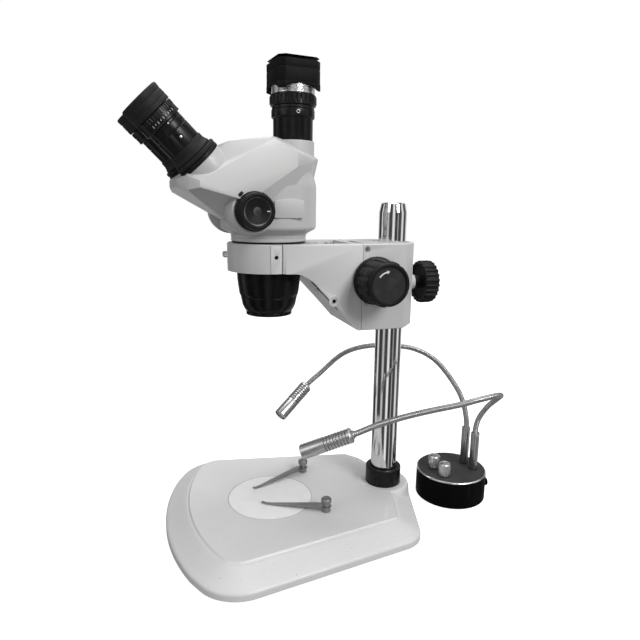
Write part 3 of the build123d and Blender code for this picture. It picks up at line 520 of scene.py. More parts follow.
def rounded(points, radii, step=4.0):
    """A flat outline with its corners turned into arcs."""
    outline = []
    for i, (point, radius) in enumerate(zip(points, radii)):
        here, before, after = Vector(point), Vector(points[i - 1]), Vector(points[(i + 1) % len(points)])
        if not radius:
            outline.append(here)
            continue
        a, b = (before - here).normalized(), (after - here).normalized()
        half = math.acos(max(-1, min(1, a.dot(b)))) / 2
        reach = radius / math.tan(half)
        middle = here + (a + b).normalized() * (radius / math.sin(half))
        start, end = here + a * reach - middle, here + b * reach - middle
        turn = start.angle_signed(end)
        count = max(2, int(abs(turn) * radius / step))
        for k in range(count + 1):
            t = -turn * k / count
            outline.append(middle + Vector((start.x * math.cos(t) - start.y * math.sin(t),
                                            start.x * math.sin(t) + start.y * math.cos(t))))
    return [(p.x, p.y) for p in outline]


def base_plan():
    """The base from above: a front arc, tapering sides and a lobe round the pillar."""
    corner, rear, lobe = (147.1, -225.2), (108.2, 2.4), (10.1, 32.7)
    sag, reach = 269.5 - 225.2, 147.1
    big = (reach ** 2 + sag ** 2) / (2 * sag)
    front = []
    for k in range(-18, 19):
        x = 100.0 * k / 18
        front.append((x, -269.5 + big - math.sqrt(big * big - x * x)))
    corners = [(-lobe[0], lobe[1]), (-rear[0], rear[1]), (-corner[0], corner[1])] + front + [corner, rear, lobe]
    radii = [34, 33, 50] + [0] * len(front) + [50, 33, 34]
    return rounded(corners, radii)


class MICROSCOPE_OT_base(bpy.types.Operator):
    """Builds the cast base with its rounded rim"""
    bl_idname = "microscope.base"
    bl_label = "Base casting"

    def execute(self, context):
        plan = base_plan()
        bm = bmesh.new()
        shape = bmesh.new()
        face = shape.faces.new([shape.verts.new((x, y, 2.5)) for x, y in plan])
        made = bmesh.ops.extrude_face_region(shape, geom=[face])["geom"]
        top = next(g for g in made if isinstance(g, bmesh.types.BMFace))
        bmesh.ops.translate(shape, vec=(0, 0, 5.0), verts=top.verts)
        # a rounded rim, the long slope and a soft turn onto the plateau
        for inset, rise in ((0.25, 1.8), (0.8, 1.0), (1.4, 1.2), (1.9, 0.85), (7.0, 4.0), (7.4, 4.2), (4.2, 2.35),
                            (1.6, 0.7), (1.6, 0.32), (1.6, 0.08)):
            bmesh.ops.inset_region(shape, faces=[top], thickness=inset, depth=0, use_even_offset=True)
            bmesh.ops.translate(shape, vec=(0, 0, rise), verts=top.verts)
        level = sum(v.co.z for v in top.verts) / len(top.verts)
        bmesh.ops.translate(shape, vec=(0, 0, BASE_TOP - 0.3 - level), verts=top.verts)
        under = min(shape.faces, key=lambda f: f.calc_center_median().z)
        bmesh.ops.inset_region(shape, faces=[under], thickness=6, depth=0, use_even_offset=True)
        bmesh.ops.inset_region(shape, faces=[under], thickness=3, depth=0, use_even_offset=True)
        bmesh.ops.translate(shape, vec=(0, 0, 7), verts=under.verts)
        settle(bm, shape, COLUMN)
        lathe(bm, COLUMN, [(20, 5), (34.4, 5), (32.6, 22), (31.4, BASE_TOP - 0.5), (29.4, BASE_TOP + 0.02),
                           (20, BASE_TOP + 0.02)], 0, 1.6, 96)
        for x, y in ((-112, -205), (112, -205), (-84, -18), (84, -18)):
            lathe(bm, within(COLUMN, (x, y, 0)), [(4, 2.5), (11.6, 2.5), (12, 3), (12.6, 12), (4, 12)], 0, 0.3, 32)
        lathe(bm, COLUMN, [(9.2, 2.5), (26.5, 2.5), (27, 3), (27.6, 12), (9.2, 12)], 0, 0.3, 48)
        lathe(bm, OPTIC, [(49.9, BASE_TOP - 0.02), (50.6, BASE_TOP + 0.02), (50.9, BASE_TOP - 0.02)], 0, 0.05, 128)
        piece("base_body", bm, ["Base paint"], "base", "base_paint", "base_casting", crease=34)
        return {"FINISHED"}


class MICROSCOPE_OT_stage_plate(bpy.types.Operator):
    """Builds the white stage plate with its softened edge"""
    bl_idname = "microscope.stage_plate"
    bl_label = "Stage plate"

    def execute(self, context):
        soft = context.scene.stand_sizes.plate_edge * 1000
        bm = bmesh.new()
        lathe(bm, OPTIC, [(0, 22.8), (49.7, 22.8), (49.7, 26.1), (0, 26.1)], 0, soft, 144)
        lathe(bm, OPTIC, [(49.5, 25.4), (50.3, 25.4), (50.3, 25.76), (49.5, 25.76)], 1, 0.05, 144)
        piece("white_plate", bm, ["White plate", "Bore shadow"], "base", "white_plastic", "stage_plate")
        return {"FINISHED"}


class MICROSCOPE_OT_collar(bpy.types.Operator):
    """Builds the black collar round the pillar's foot"""
    bl_idname = "microscope.collar"
    bl_label = "Pillar collar"

    def execute(self, context):
        bevelled("foot_collar", "column_collar", 0.35, ["Gloss black"], "base", "black_metal")
        return {"FINISHED"}


class MICROSCOPE_OT_clips(bpy.types.Operator):
    """Builds the two spring clips with their knurled thumb heads"""
    bl_idname = "microscope.clips"
    bl_label = "Stage clips"

    def execute(self, context):
        for hand, x, y in (("left", -50.0, -92.7), ("right", 50.0, -92.7)):
            def knurl(bm):
                where = within(ROOT, (x, COLUMN_Y + y, 0))
                drawn(bm, where, [(5.4, 37.6), (flutes(5.95, 5.6, 36), 38.1), (flutes(5.95, 5.6, 36), 40.9),
                                  (5.4, 41.5)], 216, 0)
                lathe(bm, where, [(0, 41.2), (4.9, 41.2), (4.9, 42.2), (4.4, 42.5), (0, 42.5)], 0, 0.2, 40)
            bevelled(f"spring_clip_{hand}", f"stage_clip_{hand}", 0.18, ["Clip steel"], f"{hand}_clip", "steel",
                     knurl, segments=2)
        return {"FINISHED"}


class MICROSCOPE_OT_block(bpy.types.Operator):
    """Builds the focus block that holds the pillar and the knobs"""
    bl_idname = "microscope.block"
    bl_label = "Focus block"

    def execute(self, context):
        bevelled("pillar_block", "focus_block", context.scene.stand_sizes.edge * 800, ["Arm paint"], "block",
                 "arm_paint")
        return {"FINISHED"}


class MICROSCOPE_OT_arm(bpy.types.Operator):
    """Builds the arm with its boss, small fitted parts and a strip of painted shade, and the head's thumb screw"""
    bl_idname = "microscope.arm"
    bl_label = "Arm casting"

    def execute(self, context):
        def fittings_and_shade_strip(bm):
            cheek = within(ROOT, (40, COLUMN_Y - 85.4, 269.3), X, Y)
            lathe(bm, cheek, [(3.6, 4.2), (5.9, 4.2), (6.4, 4.8), (5.9, 5.2), (3.8, 5.2), (3.2, 4.8)], 0, 0.3, 40)
            lathe(bm, cheek, [(0, 1.2), (2.3, 1.2), (2.3, 2.1), (0, 2.1)], 1, 0.1, 24)
            pad = within(ROOT, (40, COLUMN_Y - 148.9, 317.0), X, Y)
            lathe(bm, pad, [(0, 2.2), (2.1, 2.2), (2.1, 2.9), (0, 2.9)], 1, 0.1, 24)
            pin = within(ROOT, (38.6, COLUMN_Y - 103.4, 281.0), X, Y)
            lathe(bm, pin, [(0, -0.5), (1.7, -0.5), (1.7, 1.2), (1.1, 1.8), (0, 1.8)], 2, 0.2, 20)
            # a thin dark strip of painted shade along the slanted edge below the cheek
            under = within(COLUMN, (0, 0, 0), X, Y)
            prism(bm, under, [(-110.5, 290.6), (-80.6, 259.0), (-77.0, 257.0), (-103.2, 285.2), (-108.2, 290.6)],
                  37.6, 38.5, 3, 0.15)

        bevelled("arm_body", "arm_casting", context.scene.stand_sizes.edge * 800,
                 ["Arm paint", "Bore shadow", "Lamp steel", "Painted shade"], "arm", "arm_paint", fittings_and_shade_strip)
        bm = bmesh.new()
        turn = math.radians(-120)
        where = within(ROOT, (0, OPTIC_Y, 315.4), (math.cos(turn), math.sin(turn), 0), Z)
        lathe(bm, where, [(0, 38.4), (2, 38.4), (2, 46.0), (0, 46.0)], 0, 0.2, 24)
        drawn(bm, where, [(2.6, 45.6), (flutes(3.6, 3.3, 24), 46.3), (flutes(3.6, 3.3, 24), 52.0), (2.9, 53)], 144, 0)
        piece("thumb_knurl", bm, ["Brushed steel"], "thumb_screw", "steel", "ring_screw")
        return {"FINISHED"}


class MICROSCOPE_OT_clamp(bpy.types.Operator):
    """Builds the ribbed clamp knob behind the pillar"""
    bl_idname = "microscope.clamp"
    bl_label = "Clamp knob"

    def execute(self, context):
        bm = bmesh.new()
        where = within(ROOT, (0, COLUMN_Y, 281.4), Y, X)
        ribs = flutes(25.4, 23.6, 24, 0.62, 0.4)
        low = flutes(24.4, 22.8, 24, 0.62, 0.4)
        drawn(bm, where, [(20.6, 38.0), (21.4, 36.6), (low, 36.4), (ribs, 38.4), (ribs, 50.6), (low, 52.8),
                          (21.2, 53.6), (19.4, 53.4), (18.8, 52.9)], 288, 0)
        lathe(bm, where, [(21.2, 37.2), (20.4, 38), (20.0, 45.6), (7.8, 45.6), (7.4, 31.4), (3.9, 31), (3.9, 44),
                          (20, 50), (21.6, 40)], 0, 0.5, 72)
        lathe(bm, where, [(0, 52.6), (18.9, 52.6), (18.9, 53.1), (0, 53.4)], 1, 0.2, 72)
        lathe(bm, where, [(0, 17.8), (3.95, 17.8), (3.95, 45), (0, 45)], 2, 0.2, 32)
        piece("clamp_grip", bm, ["Black plastic", "Satin cap", "Brushed steel"], "clamp", "black_plastic",
              "clamp_knob")
        return {"FINISHED"}


class MICROSCOPE_OT_focus_knobs(bpy.types.Operator):
    """Builds the two focus knobs with rubber grip pads, a lip and a dished face, and a turn arrow on the right knob
    """
    bl_idname = "microscope.focus_knobs"
    bl_label = "Focus knobs"

    def execute(self, context):
        count = context.scene.head_sizes.grip_pads
        for hand, word in HALVES:
            bm = bmesh.new()
            where = hub(COLUMN, KNOB_Y, KNOB_Z, hand)
            lathe(bm, where, [(5, 46), (26.3, 46), (26.5, 47.4), (25.6, 48.8), (23.4, 49.4), (23.0, 54), (5, 54)], 0)
            lathe(bm, where, [(22.9, 48), (23.0, 77.6), (22.4, 78.6), (21.8, 79.6), (22.5, 80.2), (22.6, 82.2),
                              (21.6, 83), (19.4, 83), (18.8, 82.2), (18.8, 80.6), (5, 80.2), (5, 48)], 0, 0.4, 96)
            pads = flutes(24.5, 22.95, count, 0.74, 0.12)
            rim = flutes(23.6, 22.9, count, 0.74, 0.16)
            waist = flutes(24.2, 22.9, count, 0.74, 0.14)
            drawn(bm, where, [(22.0, 50.2), (rim, 50.6), (pads, 51.6), (pads, 62.6), (waist, 63.2), (pads, 63.8),
                              (pads, 75.6), (rim, 76.8), (22.0, 77.2)], count * 24, 1)
            lathe(bm, where, [(0, 80.4), (18.9, 80.5), (18.9, 81.3), (16.5, 81.0), (8, 80.7), (0, 80.6)], 2, 0.3, 72)
            if hand == 1:
                arrow = bmesh.new()
                start = arrow.verts.new((14.4 * math.cos(2.5), 14.4 * math.sin(2.5), 81.15))
                end = arrow.verts.new((12.8 * math.cos(2.5), 12.8 * math.sin(2.5), 81.08))
                line = arrow.edges.new((start, end))
                bmesh.ops.spin(arrow, geom=[start, end, line], cent=(0, 0, 0), axis=(0, 0, 1), dvec=(0, 0, 0),
                               angle=-0.72, steps=12, use_merge=False, use_duplicate=False)
                tip = 1.70
                bmesh.ops.create_circle(arrow, cap_ends=True, segments=3, radius=2.2, matrix=(
                    Matrix.Translation((13.6 * math.cos(tip), 13.6 * math.sin(tip), 81.15))
                    @ Matrix.Rotation(tip + math.pi, 4, "Z")))
                bmesh.ops.solidify(arrow, geom=arrow.faces[:], thickness=-0.12)
                settle(bm, arrow, where, 3)
            piece(f"focus_grip_{word}", bm, ["Black plastic", "Soft rubber", "Satin cap", "White mark"], "pinion",
                  "black_plastic", f"focus_knob_{word}")
        return {"FINISHED"}


class MICROSCOPE_OT_objective(bpy.types.Operator):
    """Builds the ringed nose with its stepped, glossy housing and the turning neck"""
    bl_idname = "microscope.objective"
    bl_label = "Objective housing"

    def execute(self, context):
        bm = bmesh.new()
        lathe(bm, HEAD, [(23, 251), (25.0, 251), (25.4, 251.5), (25.4, 253.9), (24.8, 254.5), (25.6, 255.0),
                         (27.5, 257.8), (29.4, 262), (30.6, 268), (31.2, 271.0), (31.0, 271.4), (31.5, 271.8),
                         (32.7, 275), (33.9, 284), (34.6, 290), (34.8, 295), (34.8, 303), (31, 303), (31, 284),
                         (28, 272), (23, 266)], 0, 0.4, 120)
        lathe(bm, HEAD, [(22.6, 252.6), (23.4, 252.6), (23.4, 258), (22.6, 258)], 1, 0.1, 96)
        piece("nose_housing", bm, ["Nose black", "Bore shadow"], "head", "black_metal", "objective_housing")
        bm = bmesh.new()
        lathe(bm, HEAD, [(33, 303), (37.8, 303), (37.8, 330.3), (40, 330.3), (40, 331.8), (33, 331.8)], 0, 0.2, 96)
        piece("turning_neck", bm, ["Black anodised"], "head", "black_metal", "mount_neck")
        return {"FINISHED"}


class MICROSCOPE_OT_head(bpy.types.Operator):
    """Builds the head's shell: the drum, the leaning body, the bosses and the eyepiece seats"""
    bl_idname = "microscope.head"
    bl_label = "Head shell"

    def execute(self, context):
        sizes = context.scene.head_sizes
        wide, narrow = sizes.soft_edge * 1000, sizes.crisp_edge * 1000
        bm = bmesh.new()
        cuts = [
            ((0, -100.3, 388), (0, -1, 0)),                  # front lip
            ((0, -54.2, 428.0), (0, -0.607, 0.794)),         # eyepiece panel
            ((0, -3.6, 436.4), (0, -0.14, 0.99)),            # crown behind it
            ((0, 0, 436.5), (0, 0, 1)),                      # top
            ((0, 49.6, 415.5), (0, 1, -0.25)),               # rear, tucked in under its lip
            ((0, 49.6, 415.5), (0, 1, 0)),
            ((0, -52, 354.6), (0, -0.544, -0.839)),          # front underside
            ((0, 0, 350), (0, 0, -1)),
        ]
        for hand in (1, -1):
            cuts += [
                ((hand * 55, -66.2, 401.8), (hand * 0.635, -0.381, 0.671)),   # panel's falling side
                ((hand * 16, 12, 436), (hand * 0.38, 0.45, 1.0)),             # leaning shoulder
                ((hand * 55, 0, 384), (hand, 0, 0)),                          # side
                ((hand * 55, -92, 386.5), (hand * 0.42, -0.225, -0.88)),      # side tucked in below
                ((hand * 55, -22, 384), (hand * 555, 113, -167)),             # scoop over the drum
                ((hand * 33, 38.5, 413), (hand * 512, 458, -146)),
                ((hand * 55, 12, 400), (hand * 0.77, 0.64, 0)),
                ((hand * 33, 38.5, 414), (hand * 0.59, 0.81, -0.2)),
                ((hand * 20, -100.3, 388), (hand * 0.25, -0.97, 0)),
                ((hand * 47, -92.6, 388), (hand * 0.68, -0.73, 0)),
            ]
        fine = [8, 18]
        hewn(bm, HEAD, cuts, (0, -20, 400), wide, narrow, fine)
        # drum, cove and flange
        lathe(bm, HEAD, [(33, 331.8), (40.6, 331.8), (40.6, 334.7), (40.1, 335.0), (40.1, 335.5), (40.6, 335.8),
                         (40.6, 338.6), (42, 340.2), (49.6, 344.4), (51.0, 346), (51.4, 348.4), (51.4, 386),
                         (51.1, 390.5), (50.0, 395), (48.6, 400), (48.0, 405), (48.2, 410), (48.9, 414.5),
                         (40, 417), (33, 400)], 0, 1.6, 160)
        # tower under the photo tube
        lathe(bm, PORT, [(15, 400), (22.9, 400), (22.9, 436.0), (22.3, 436.6), (15, 436.6)], 0, 0.5, 96)
        for hand in (1, -1):
            zoom = hub(HEAD, ZOOM_Y, ZOOM_Z, hand)
            lathe(bm, zoom, [(0, 30), (25.4, 34), (24.4, 42), (21.9, 50.3), (20.9, 51.1), (19, 51.1), (19, 49.6),
                             (0, 49.6)], 0, 0.8, 96)
            seat = eye(hand, EYE_SWING)
            lathe(bm, seat, [(11, 84), (18.05, 84), (18.05, 72.6), (19.6, 72.2), (22.4, 72.2), (22.8, 72.7),
                             (22.8, 75.6), (22.0, 76.2), (11, 76.2)], 1, 0.4, 96)
            lathe(bm, seat, [(11, 76), (21.9, 76), (22.4, 77), (22.6, 84), (22.8, 92), (11, 92)], 0,
                  0.8, 96)
            # raised pad with a peaked top on the drum's side
            pad = within(HEAD, (0, 0, 0), (hand, 0, 0), (0, hand, 0))
            outline = [(-11.5, 358), (-10.5, 356.8), (19.2, 356.8), (20.3, 358), (20.3, 373.2), (19.4, 374.2),
                       (8, 376.2), (-3, 375.4), (-10.5, 374.0), (-11.5, 373.0)]
            if hand == -1:
                outline = [(-20.3, 358), (-19.2, 356.8), (10.5, 356.8), (11.5, 358), (11.5, 373.0), (10.5, 374.0),
                           (3, 375.4), (-8, 376.2), (-19.4, 374.2), (-20.3, 373.2)]
            prism(bm, pad, outline, 44, 52.6, 0, 1.0, 3)
            # stop lug and wedge above the zoom knob
            lug = within(HEAD, (hand * 52.0, -46.5, 379.6), (hand, 0, 0), (0, 1, 1))
            block(bm, lug, (5.6, 3.2, 7), (0, 0, 0), 1, 0.5)
            wedge = within(HEAD, (hand * 51.2, -39.6, 383.6), (hand, 0, 0), (0, 1, -0.55))
            block(bm, wedge, (9, 4.4, 5), (0, 0, 0), 0, 0.8)
        piece("head_body", bm, ["Head paint", "Black plastic"], "head", "arm_paint", "head_shell", crease=32)
        return {"FINISHED"}


class MICROSCOPE_OT_zoom_knobs(bpy.types.Operator):
    """Builds the two zoom knobs with dished faces, a painted sheen on their caps, and an index mark"""
    bl_idname = "microscope.zoom_knobs"
    bl_label = "Zoom knobs"

    def execute(self, context):
        for hand, word in HALVES:
            bm = bmesh.new()
            where = hub(HEAD, ZOOM_Y, ZOOM_Z, hand)
            lathe(bm, where, [(4, 51.6), (19.6, 51.6), (19.8, 52.4), (19.8, 54.2), (18.9, 55.2), (18.2, 56.2),
                              (18.0, 56.8), (18.2, 57.2), (17.2, 63.6), (17.5, 64.2), (17.2, 65), (15.0, 65.2),
                              (14.2, 64.6), (13.6, 63.4), (4, 62.6)], 0, 0.4, 108)
            lathe(bm, where, [(0, 61.4), (13.9, 62.6), (13.9, 63.9), (12.4, 63.2), (7, 62.6), (0, 62.4)], 1, 0.4, 96)
            block(bm, where, (3.0, 0.9, 0.5), (11.0, 0, 63.3), 2, 0.12)
            piece(f"zoom_grip_{word}", bm, ["Black plastic", "Painted sheen cap", "White mark"], "zoom", "black_plastic",
                  f"zoom_knob_{word}")
        return {"FINISHED"}


class MICROSCOPE_OT_eyes(bpy.types.Operator):
    """Builds both eyepieces: tubes, lenses, focusing rings with scales, and rubber cups"""
    bl_idname = "microscope.eyes"
    bl_label = "Eyepieces"

    def execute(self, context):
        for hand, word in HALVES:
            tube, pivot = eye(hand), eye(hand, EYE_SWING)
            bm = bmesh.new()
            lathe(bm, tube, [(15, 33.7), (17.7, 33.7), (17.8, 40.2), (17.4, 40.5), (17.4, 40.9), (17.8, 41.2),
                             (17.8, 56.6), (15, 56.6)], 0, 0.3, 96)
            lathe(bm, tube, [(15, 56.6), (18.5, 56.7), (18.8, 57.6), (19.0, 62.0), (19.9, 64.6), (20.9, 66.2),
                             (20.8, 67.6), (19.8, 68), (15, 68)], 1, 0.8, 96)
            lathe(bm, pivot, [(11, 67.9), (21.6, 67.9), (22.6, 68.6), (22.8, 69.4), (22.4, 70.0), (22.8, 70.5),
                              (22.6, 71.5), (18, 71.6), (18, 84), (11, 84)], 1, 0.4, 96)
            side = within(tube, (0, 0, 48), (hand, 0, 0), Z)
            lathe(bm, side, [(0, 15), (1.5, 15), (1.5, 18.3), (1.2, 18.6), (0, 18.7)], 2, 0.2, 24)
            lathe(bm, side, [(1.6, 16.4), (2.3, 16.4), (2.3, 17.95), (1.6, 17.95)], 3, 0.1, 24)
            for turn in (70, 190, 310):
                spot = within(tube, (0, 0, 37), (math.cos(math.radians(turn)), math.sin(math.radians(turn)), 0), Z)
                lathe(bm, spot, [(0, 16), (1.1, 16), (1.1, 17.9), (0, 17.95)], 3, 0.1, 16)
            piece(f"eye_tube_{word}", bm, ["Black anodised", "Soft rubber", "Lamp steel", "Bore shadow"],
                  f"{word}_eye", "black_metal", f"eyetube_{word}")
            bm = bmesh.new()
            lathe(bm, tube, [(12.4, 3), (16.8, 3), (17, 31.2), (17.8, 31.2), (17.8, 33.6), (15, 33.6), (15, 60),
                             (12.4, 60)], 0, 0.25, 96)
            lathe(bm, tube, [(0, 5.0), (6, 5.4), (12.5, 7.2), (12.5, 13), (0, 13)], 1, 0.2, 72)
            piece(f"ocular_{word}", bm, ["Black anodised", "Coated glass"], f"{word}_eye", "black_metal",
                  f"eyepiece_{word}")
            bm = bmesh.new()
            ribs = flutes(20.2, 19.7, 40, 0.6, 0.3)
            lathe(bm, tube, [(17.05, 18.3), (19.6, 18.3), (19.9, 18.8), (19.9, 30.4), (19.4, 30.9), (17.05, 30.9)],
                  0, 0.25, 96)
            drawn(bm, tube, [(19.2, 18.6), (ribs, 19.0), (ribs, 23.4), (19.2, 23.9)], 240, 0)
            drawn(bm, tube, [(19.4, 28.6), (20.15, 28.9), (20.15, 30.2), (19.4, 30.5)], 96, 0)
            for step in range(-4, 5):
                a = step * 0.16 + (0 if hand == 1 else math.pi)
                mark = within(tube, (0, 0, 0), (math.cos(a), math.sin(a), 0), Z)
                block(bm, mark, (2.6 if step % 2 == 0 else 1.5, 0.42, 0.3), (26.6, 0, 19.95), 1, 0.05)
            dot = within(tube, (0, 0, 32.4), (hand, 0, 0), Z)
            lathe(bm, dot, [(0, 17.2), (0.8, 17.2), (0.8, 17.95), (0, 18.0)], 1, 0.1, 16)
            piece(f"focus_scale_{word}", bm, ["Black anodised", "White mark"], f"{word}_diopter", "black_metal",
                  f"diopter_ring_{word}")
            bm = bmesh.new()
            lathe(bm, tube, [(14.5, 1.0), (15.2, 0.3), (17.0, 0), (19.6, 0.1), (20.5, 0.8), (20.7, 2.4), (20.4, 6.0),
                             (20.1, 6.4), (20.1, 7.0), (20.4, 7.4), (20.6, 12.5), (20.3, 13.0), (20.3, 13.5),
                             (20.6, 14.0), (20.6, 17.4), (20.0, 18), (17, 18), (17, 4.5), (16.2, 3.4), (14.8, 2.6)],
                  0, 0.5, 96)
            piece(f"rubber_cup_{word}", bm, ["Soft rubber"], f"{word}_eye", "rubber", f"eyecup_{word}")
        return {"FINISHED"}


class MICROSCOPE_OT_camera_unit(bpy.types.Operator):
    """Builds the photo tube, the focus ring and the small square camera on top"""
    bl_idname = "microscope.camera_unit"
    bl_label = "Photo tube and camera"

    def execute(self, context):
        bm = bmesh.new()
        lathe(bm, PORT, [(16, 428), (19.9, 428), (19.9, 436.5), (21.2, 436.7), (21.2, 459.4), (22.4, 459.8),
                         (23.1, 460.8), (23.1, 467.8), (22.6, 468.4), (19.05, 468.4), (19.05, 452), (16, 452)], 0,
              0.4, 108)
        for turn in (-8, 112, 232):
            way = (math.cos(math.radians(turn)), math.sin(math.radians(turn)), 0)
            flat = within(PORT, (0, 0, 464.2), way, Z)
            block(bm, flat, (6.2, 7.0, 1.2), (0, 0, 22.75), 0, 0.4)
            lathe(bm, flat, [(0, 22.2), (2.0, 22.2), (2.0, 23.5), (1.2, 23.5), (1.1, 22.6), (0, 22.6)], 1, 0.12, 24)
        piece("photo_port", bm, ["Black anodised", "Brushed steel"], "head", "black_metal", "photo_tube")
        bm = bmesh.new()
        count = context.scene.head_sizes.ring_ribs
        lands = flutes(25.0, 24.0, count, 0.74, 0.1)
        drawn(bm, PORT, [(19.05, 471.8), (23.4, 471.8), (24.2, 472.4), (24.2, 473.6), (lands, 474.1), (lands, 481.0),
                         (24.2, 481.5), (24.2, 482.6), (23.4, 483.2), (19.05, 483.2), (19.05, 471.8)],
              count * 16, 0)
        piece("focus_band", bm, ["Black anodised"], "focus_ring", "black_metal", "adapter_ring")
        bm = bmesh.new()
        ribs = [(12.7, 483.6), (23.0, 483.6)]
        for i in range(5):
            z = 484.4 + i * 1.6
            ribs += [(23.0, z), (22.1, z + 0.35), (22.1, z + 0.75), (23.0, z + 1.1)]
        ribs += [(23.0, 492.3), (12.7, 492.3)]
        lathe(bm, PORT, ribs, 0, 0.15, 120)
        piece("silver_mount", bm, ["Turned aluminium"], "camera", "aluminium", "camera_mount")
        bm = bmesh.new()
        half, cut = 23.5, 6.0
        edge = half - cut
        plan = [(half, -edge), (half, edge), (edge, half), (-edge, half), (-half, edge), (-half, -edge),
                (-edge, -half), (edge, -half)]
        prism(bm, PORT, plan, 492.4, 506.1, 0, 0.5, 3)
        for turn in range(4):
            wall, corner = (within(PORT, (0, 0, 0), (math.cos(a), math.sin(a), 0), (-math.sin(a), math.cos(a), 0))
                            for a in (turn * math.pi / 2, (turn + .5) * math.pi / 2))
            arch = [(-edge + 35 * i / 12, 486.6 + 5.2 * math.sin(math.pi * i / 12) ** 0.8) for i in range(13)]
            prism(bm, wall, [(-edge - 0.8, 493), (-edge - 0.8, 486.4)] + arch
                  + [(edge + 0.8, 486.4), (edge + 0.8, 493)], half - 1.6, half, 0, 0.25, 2)
            reach = (half + edge) / math.sqrt(2)
            prism(bm, corner, [(-4.6, 493), (-4.6, 486.4), (4.6, 486.4), (4.6, 493)], reach - 1.6, reach, 0, 0.25, 2)
        piece("camera_case", bm, ["Camera black"], "camera", "black_plastic", "camera_body")
        bm = bmesh.new()
        prism(bm, PORT, [(x * 0.985, y * 0.985) for x, y in plan], 505.9, 507.0, 0, 0)
        prism(bm, PORT, plan, 506.9, 515.0, 0, 0.6, 3)
        lid = bmesh.new()
        face = lid.faces.new([lid.verts.new((x * 0.975, y * 0.975, 514.6)) for x, y in plan])
        for inset, rise in ((1.6, 1.6), (3.0, 1.6), (5.0, 1.2), (6.0, 0.6)):
            bmesh.ops.inset_region(lid, faces=[face], thickness=inset, depth=rise)
        settle(bm, lid, PORT, 0)
        piece("camera_lid", bm, ["Camera black"], "camera", "black_plastic", "camera_top", crease=25)
        return {"FINISHED"}


class MICROSCOPE_OT_lamp_base(bpy.types.Operator):
    """Builds the round lamp base with its bright rim, dimmer knobs and arm sleeves"""
    bl_idname = "microscope.lamp_base"
    bl_label = "Lamp base"

    def execute(self, context):
        bm = bmesh.new()
        lathe(bm, PUCK, [(41, 2.2), (43.7, 2.2), (44.1, 2.8), (44.1, 35.6), (41, 35.6)], 0, 0.3, 144)
        lathe(bm, PUCK, [(40, 35.5), (44.1, 35.5), (44.1, 36.3), (43.3, 37.2), (42.7, 37.2), (42.5, 36.6),
                         (40, 36.6)], 1, 0.15, 144)
        lathe(bm, PUCK, [(0, 33.6), (42.55, 33.6), (42.55, 37.0), (42.2, 37.3), (0, 37.3)], 2, 0.3, 144)
        jack = within(PUCK, (14, 43.6, 18), Y, X)
        lathe(bm, jack, [(2.6, -3), (5.4, -3), (5.4, 0.8), (4.8, 1.2), (3.2, 1.2), (2.6, 0.8)], 0, 0.2, 32)
        piece("lamp_puck", bm, ["Lamp case", "Turned aluminium", "Lamp lid"], "base", "black_plastic", "lamp_base")
        for (x, y), word in (((-6.1, -21.8), "left"), ((17.7, -20.3), "right")):
            bm = bmesh.new()
            where = within(PUCK, (x, y, 0))
            grip = flutes(7.5, 7.05, 30, 0.6, 0.3)
            lathe(bm, where, [(0, 30), (3, 30), (3, 38.2), (0, 38.2)], 0, 0.2, 24)
            drawn(bm, where, [(6.6, 37.9), (7.3, 38.2), (7.3, 40.2), (grip, 40.6), (grip, 51.6), (7.1, 52.8),
                              (6.4, 53.8)], 180, 0)
            lathe(bm, where, [(0, 53.2), (6.6, 53.4), (6.3, 54), (5.4, 54), (5.0, 53.7), (0, 53.8)], 0, 0.2, 48)
            block(bm, where, (0.9, 3.6, 0.5), (0, -4.6, 53.9), 1, 0.1)
            piece(f"dimmer_grip_{word}", bm, ["Turned aluminium", "Bore shadow"], f"{word}_dimmer", "aluminium",
                  f"dimmer_knob_{word}")
        bm = bmesh.new()
        for x, y in ((-7.7, 23.8), (11.4, 25.5)):
            where = within(PUCK, (x, y, 0))
            lathe(bm, where, [(2, 33.6), (4, 33.6), (4, 37.4), (5.3, 37.5), (5.3, 84.4), (4.9, 84.8), (5.3, 85.2),
                              (5.3, 86.9), (4.7, 87.5), (3.45, 87.5), (3.45, 62), (2, 62)], 0, 0.25, 48)
            lathe(bm, where, [(5.2, 37.3), (6.0, 37.3), (6.0, 37.8), (5.2, 38.2)], 1, 0.1, 48)
        piece("arm_ferrules", bm, ["Brushed steel", "Black plastic"], "base", "steel", "arm_sleeves")
        return {"FINISHED"}


ARM_ROUTES = {
    "left": [(5.3, 114.8, 62.4), (5.3, 114.8, 94), (2, 108.8, 123), (-6, 101, 142.4), (-25, 80.4, 172.6),
             (-42, 59.3, 184.5), (-53, 35, 188), (-61, 8.5, 188.4), (-67, -18.4, 183.6), (-72, -36, 174.4),
             (-78, -62, 150)],
    "right": [(24.4, 116.5, 62.4), (24.4, 116.5, 94), (26, 119, 107), (33, 125, 124), (46, 127.6, 138),
              (62, 122, 149.5), (87, 76.2, 157.5), (91.5, 51.3, 156.2), (92.5, 6.7, 152.4), (92, -25, 148),
              (91, -52, 142.3)],
}
LAMPS = {"left": ((-80, -80, 133.7), (-57, -121.7, 104.3)), "right": ((90, -77.8, 134.6), (66, -126.4, 110.4))}


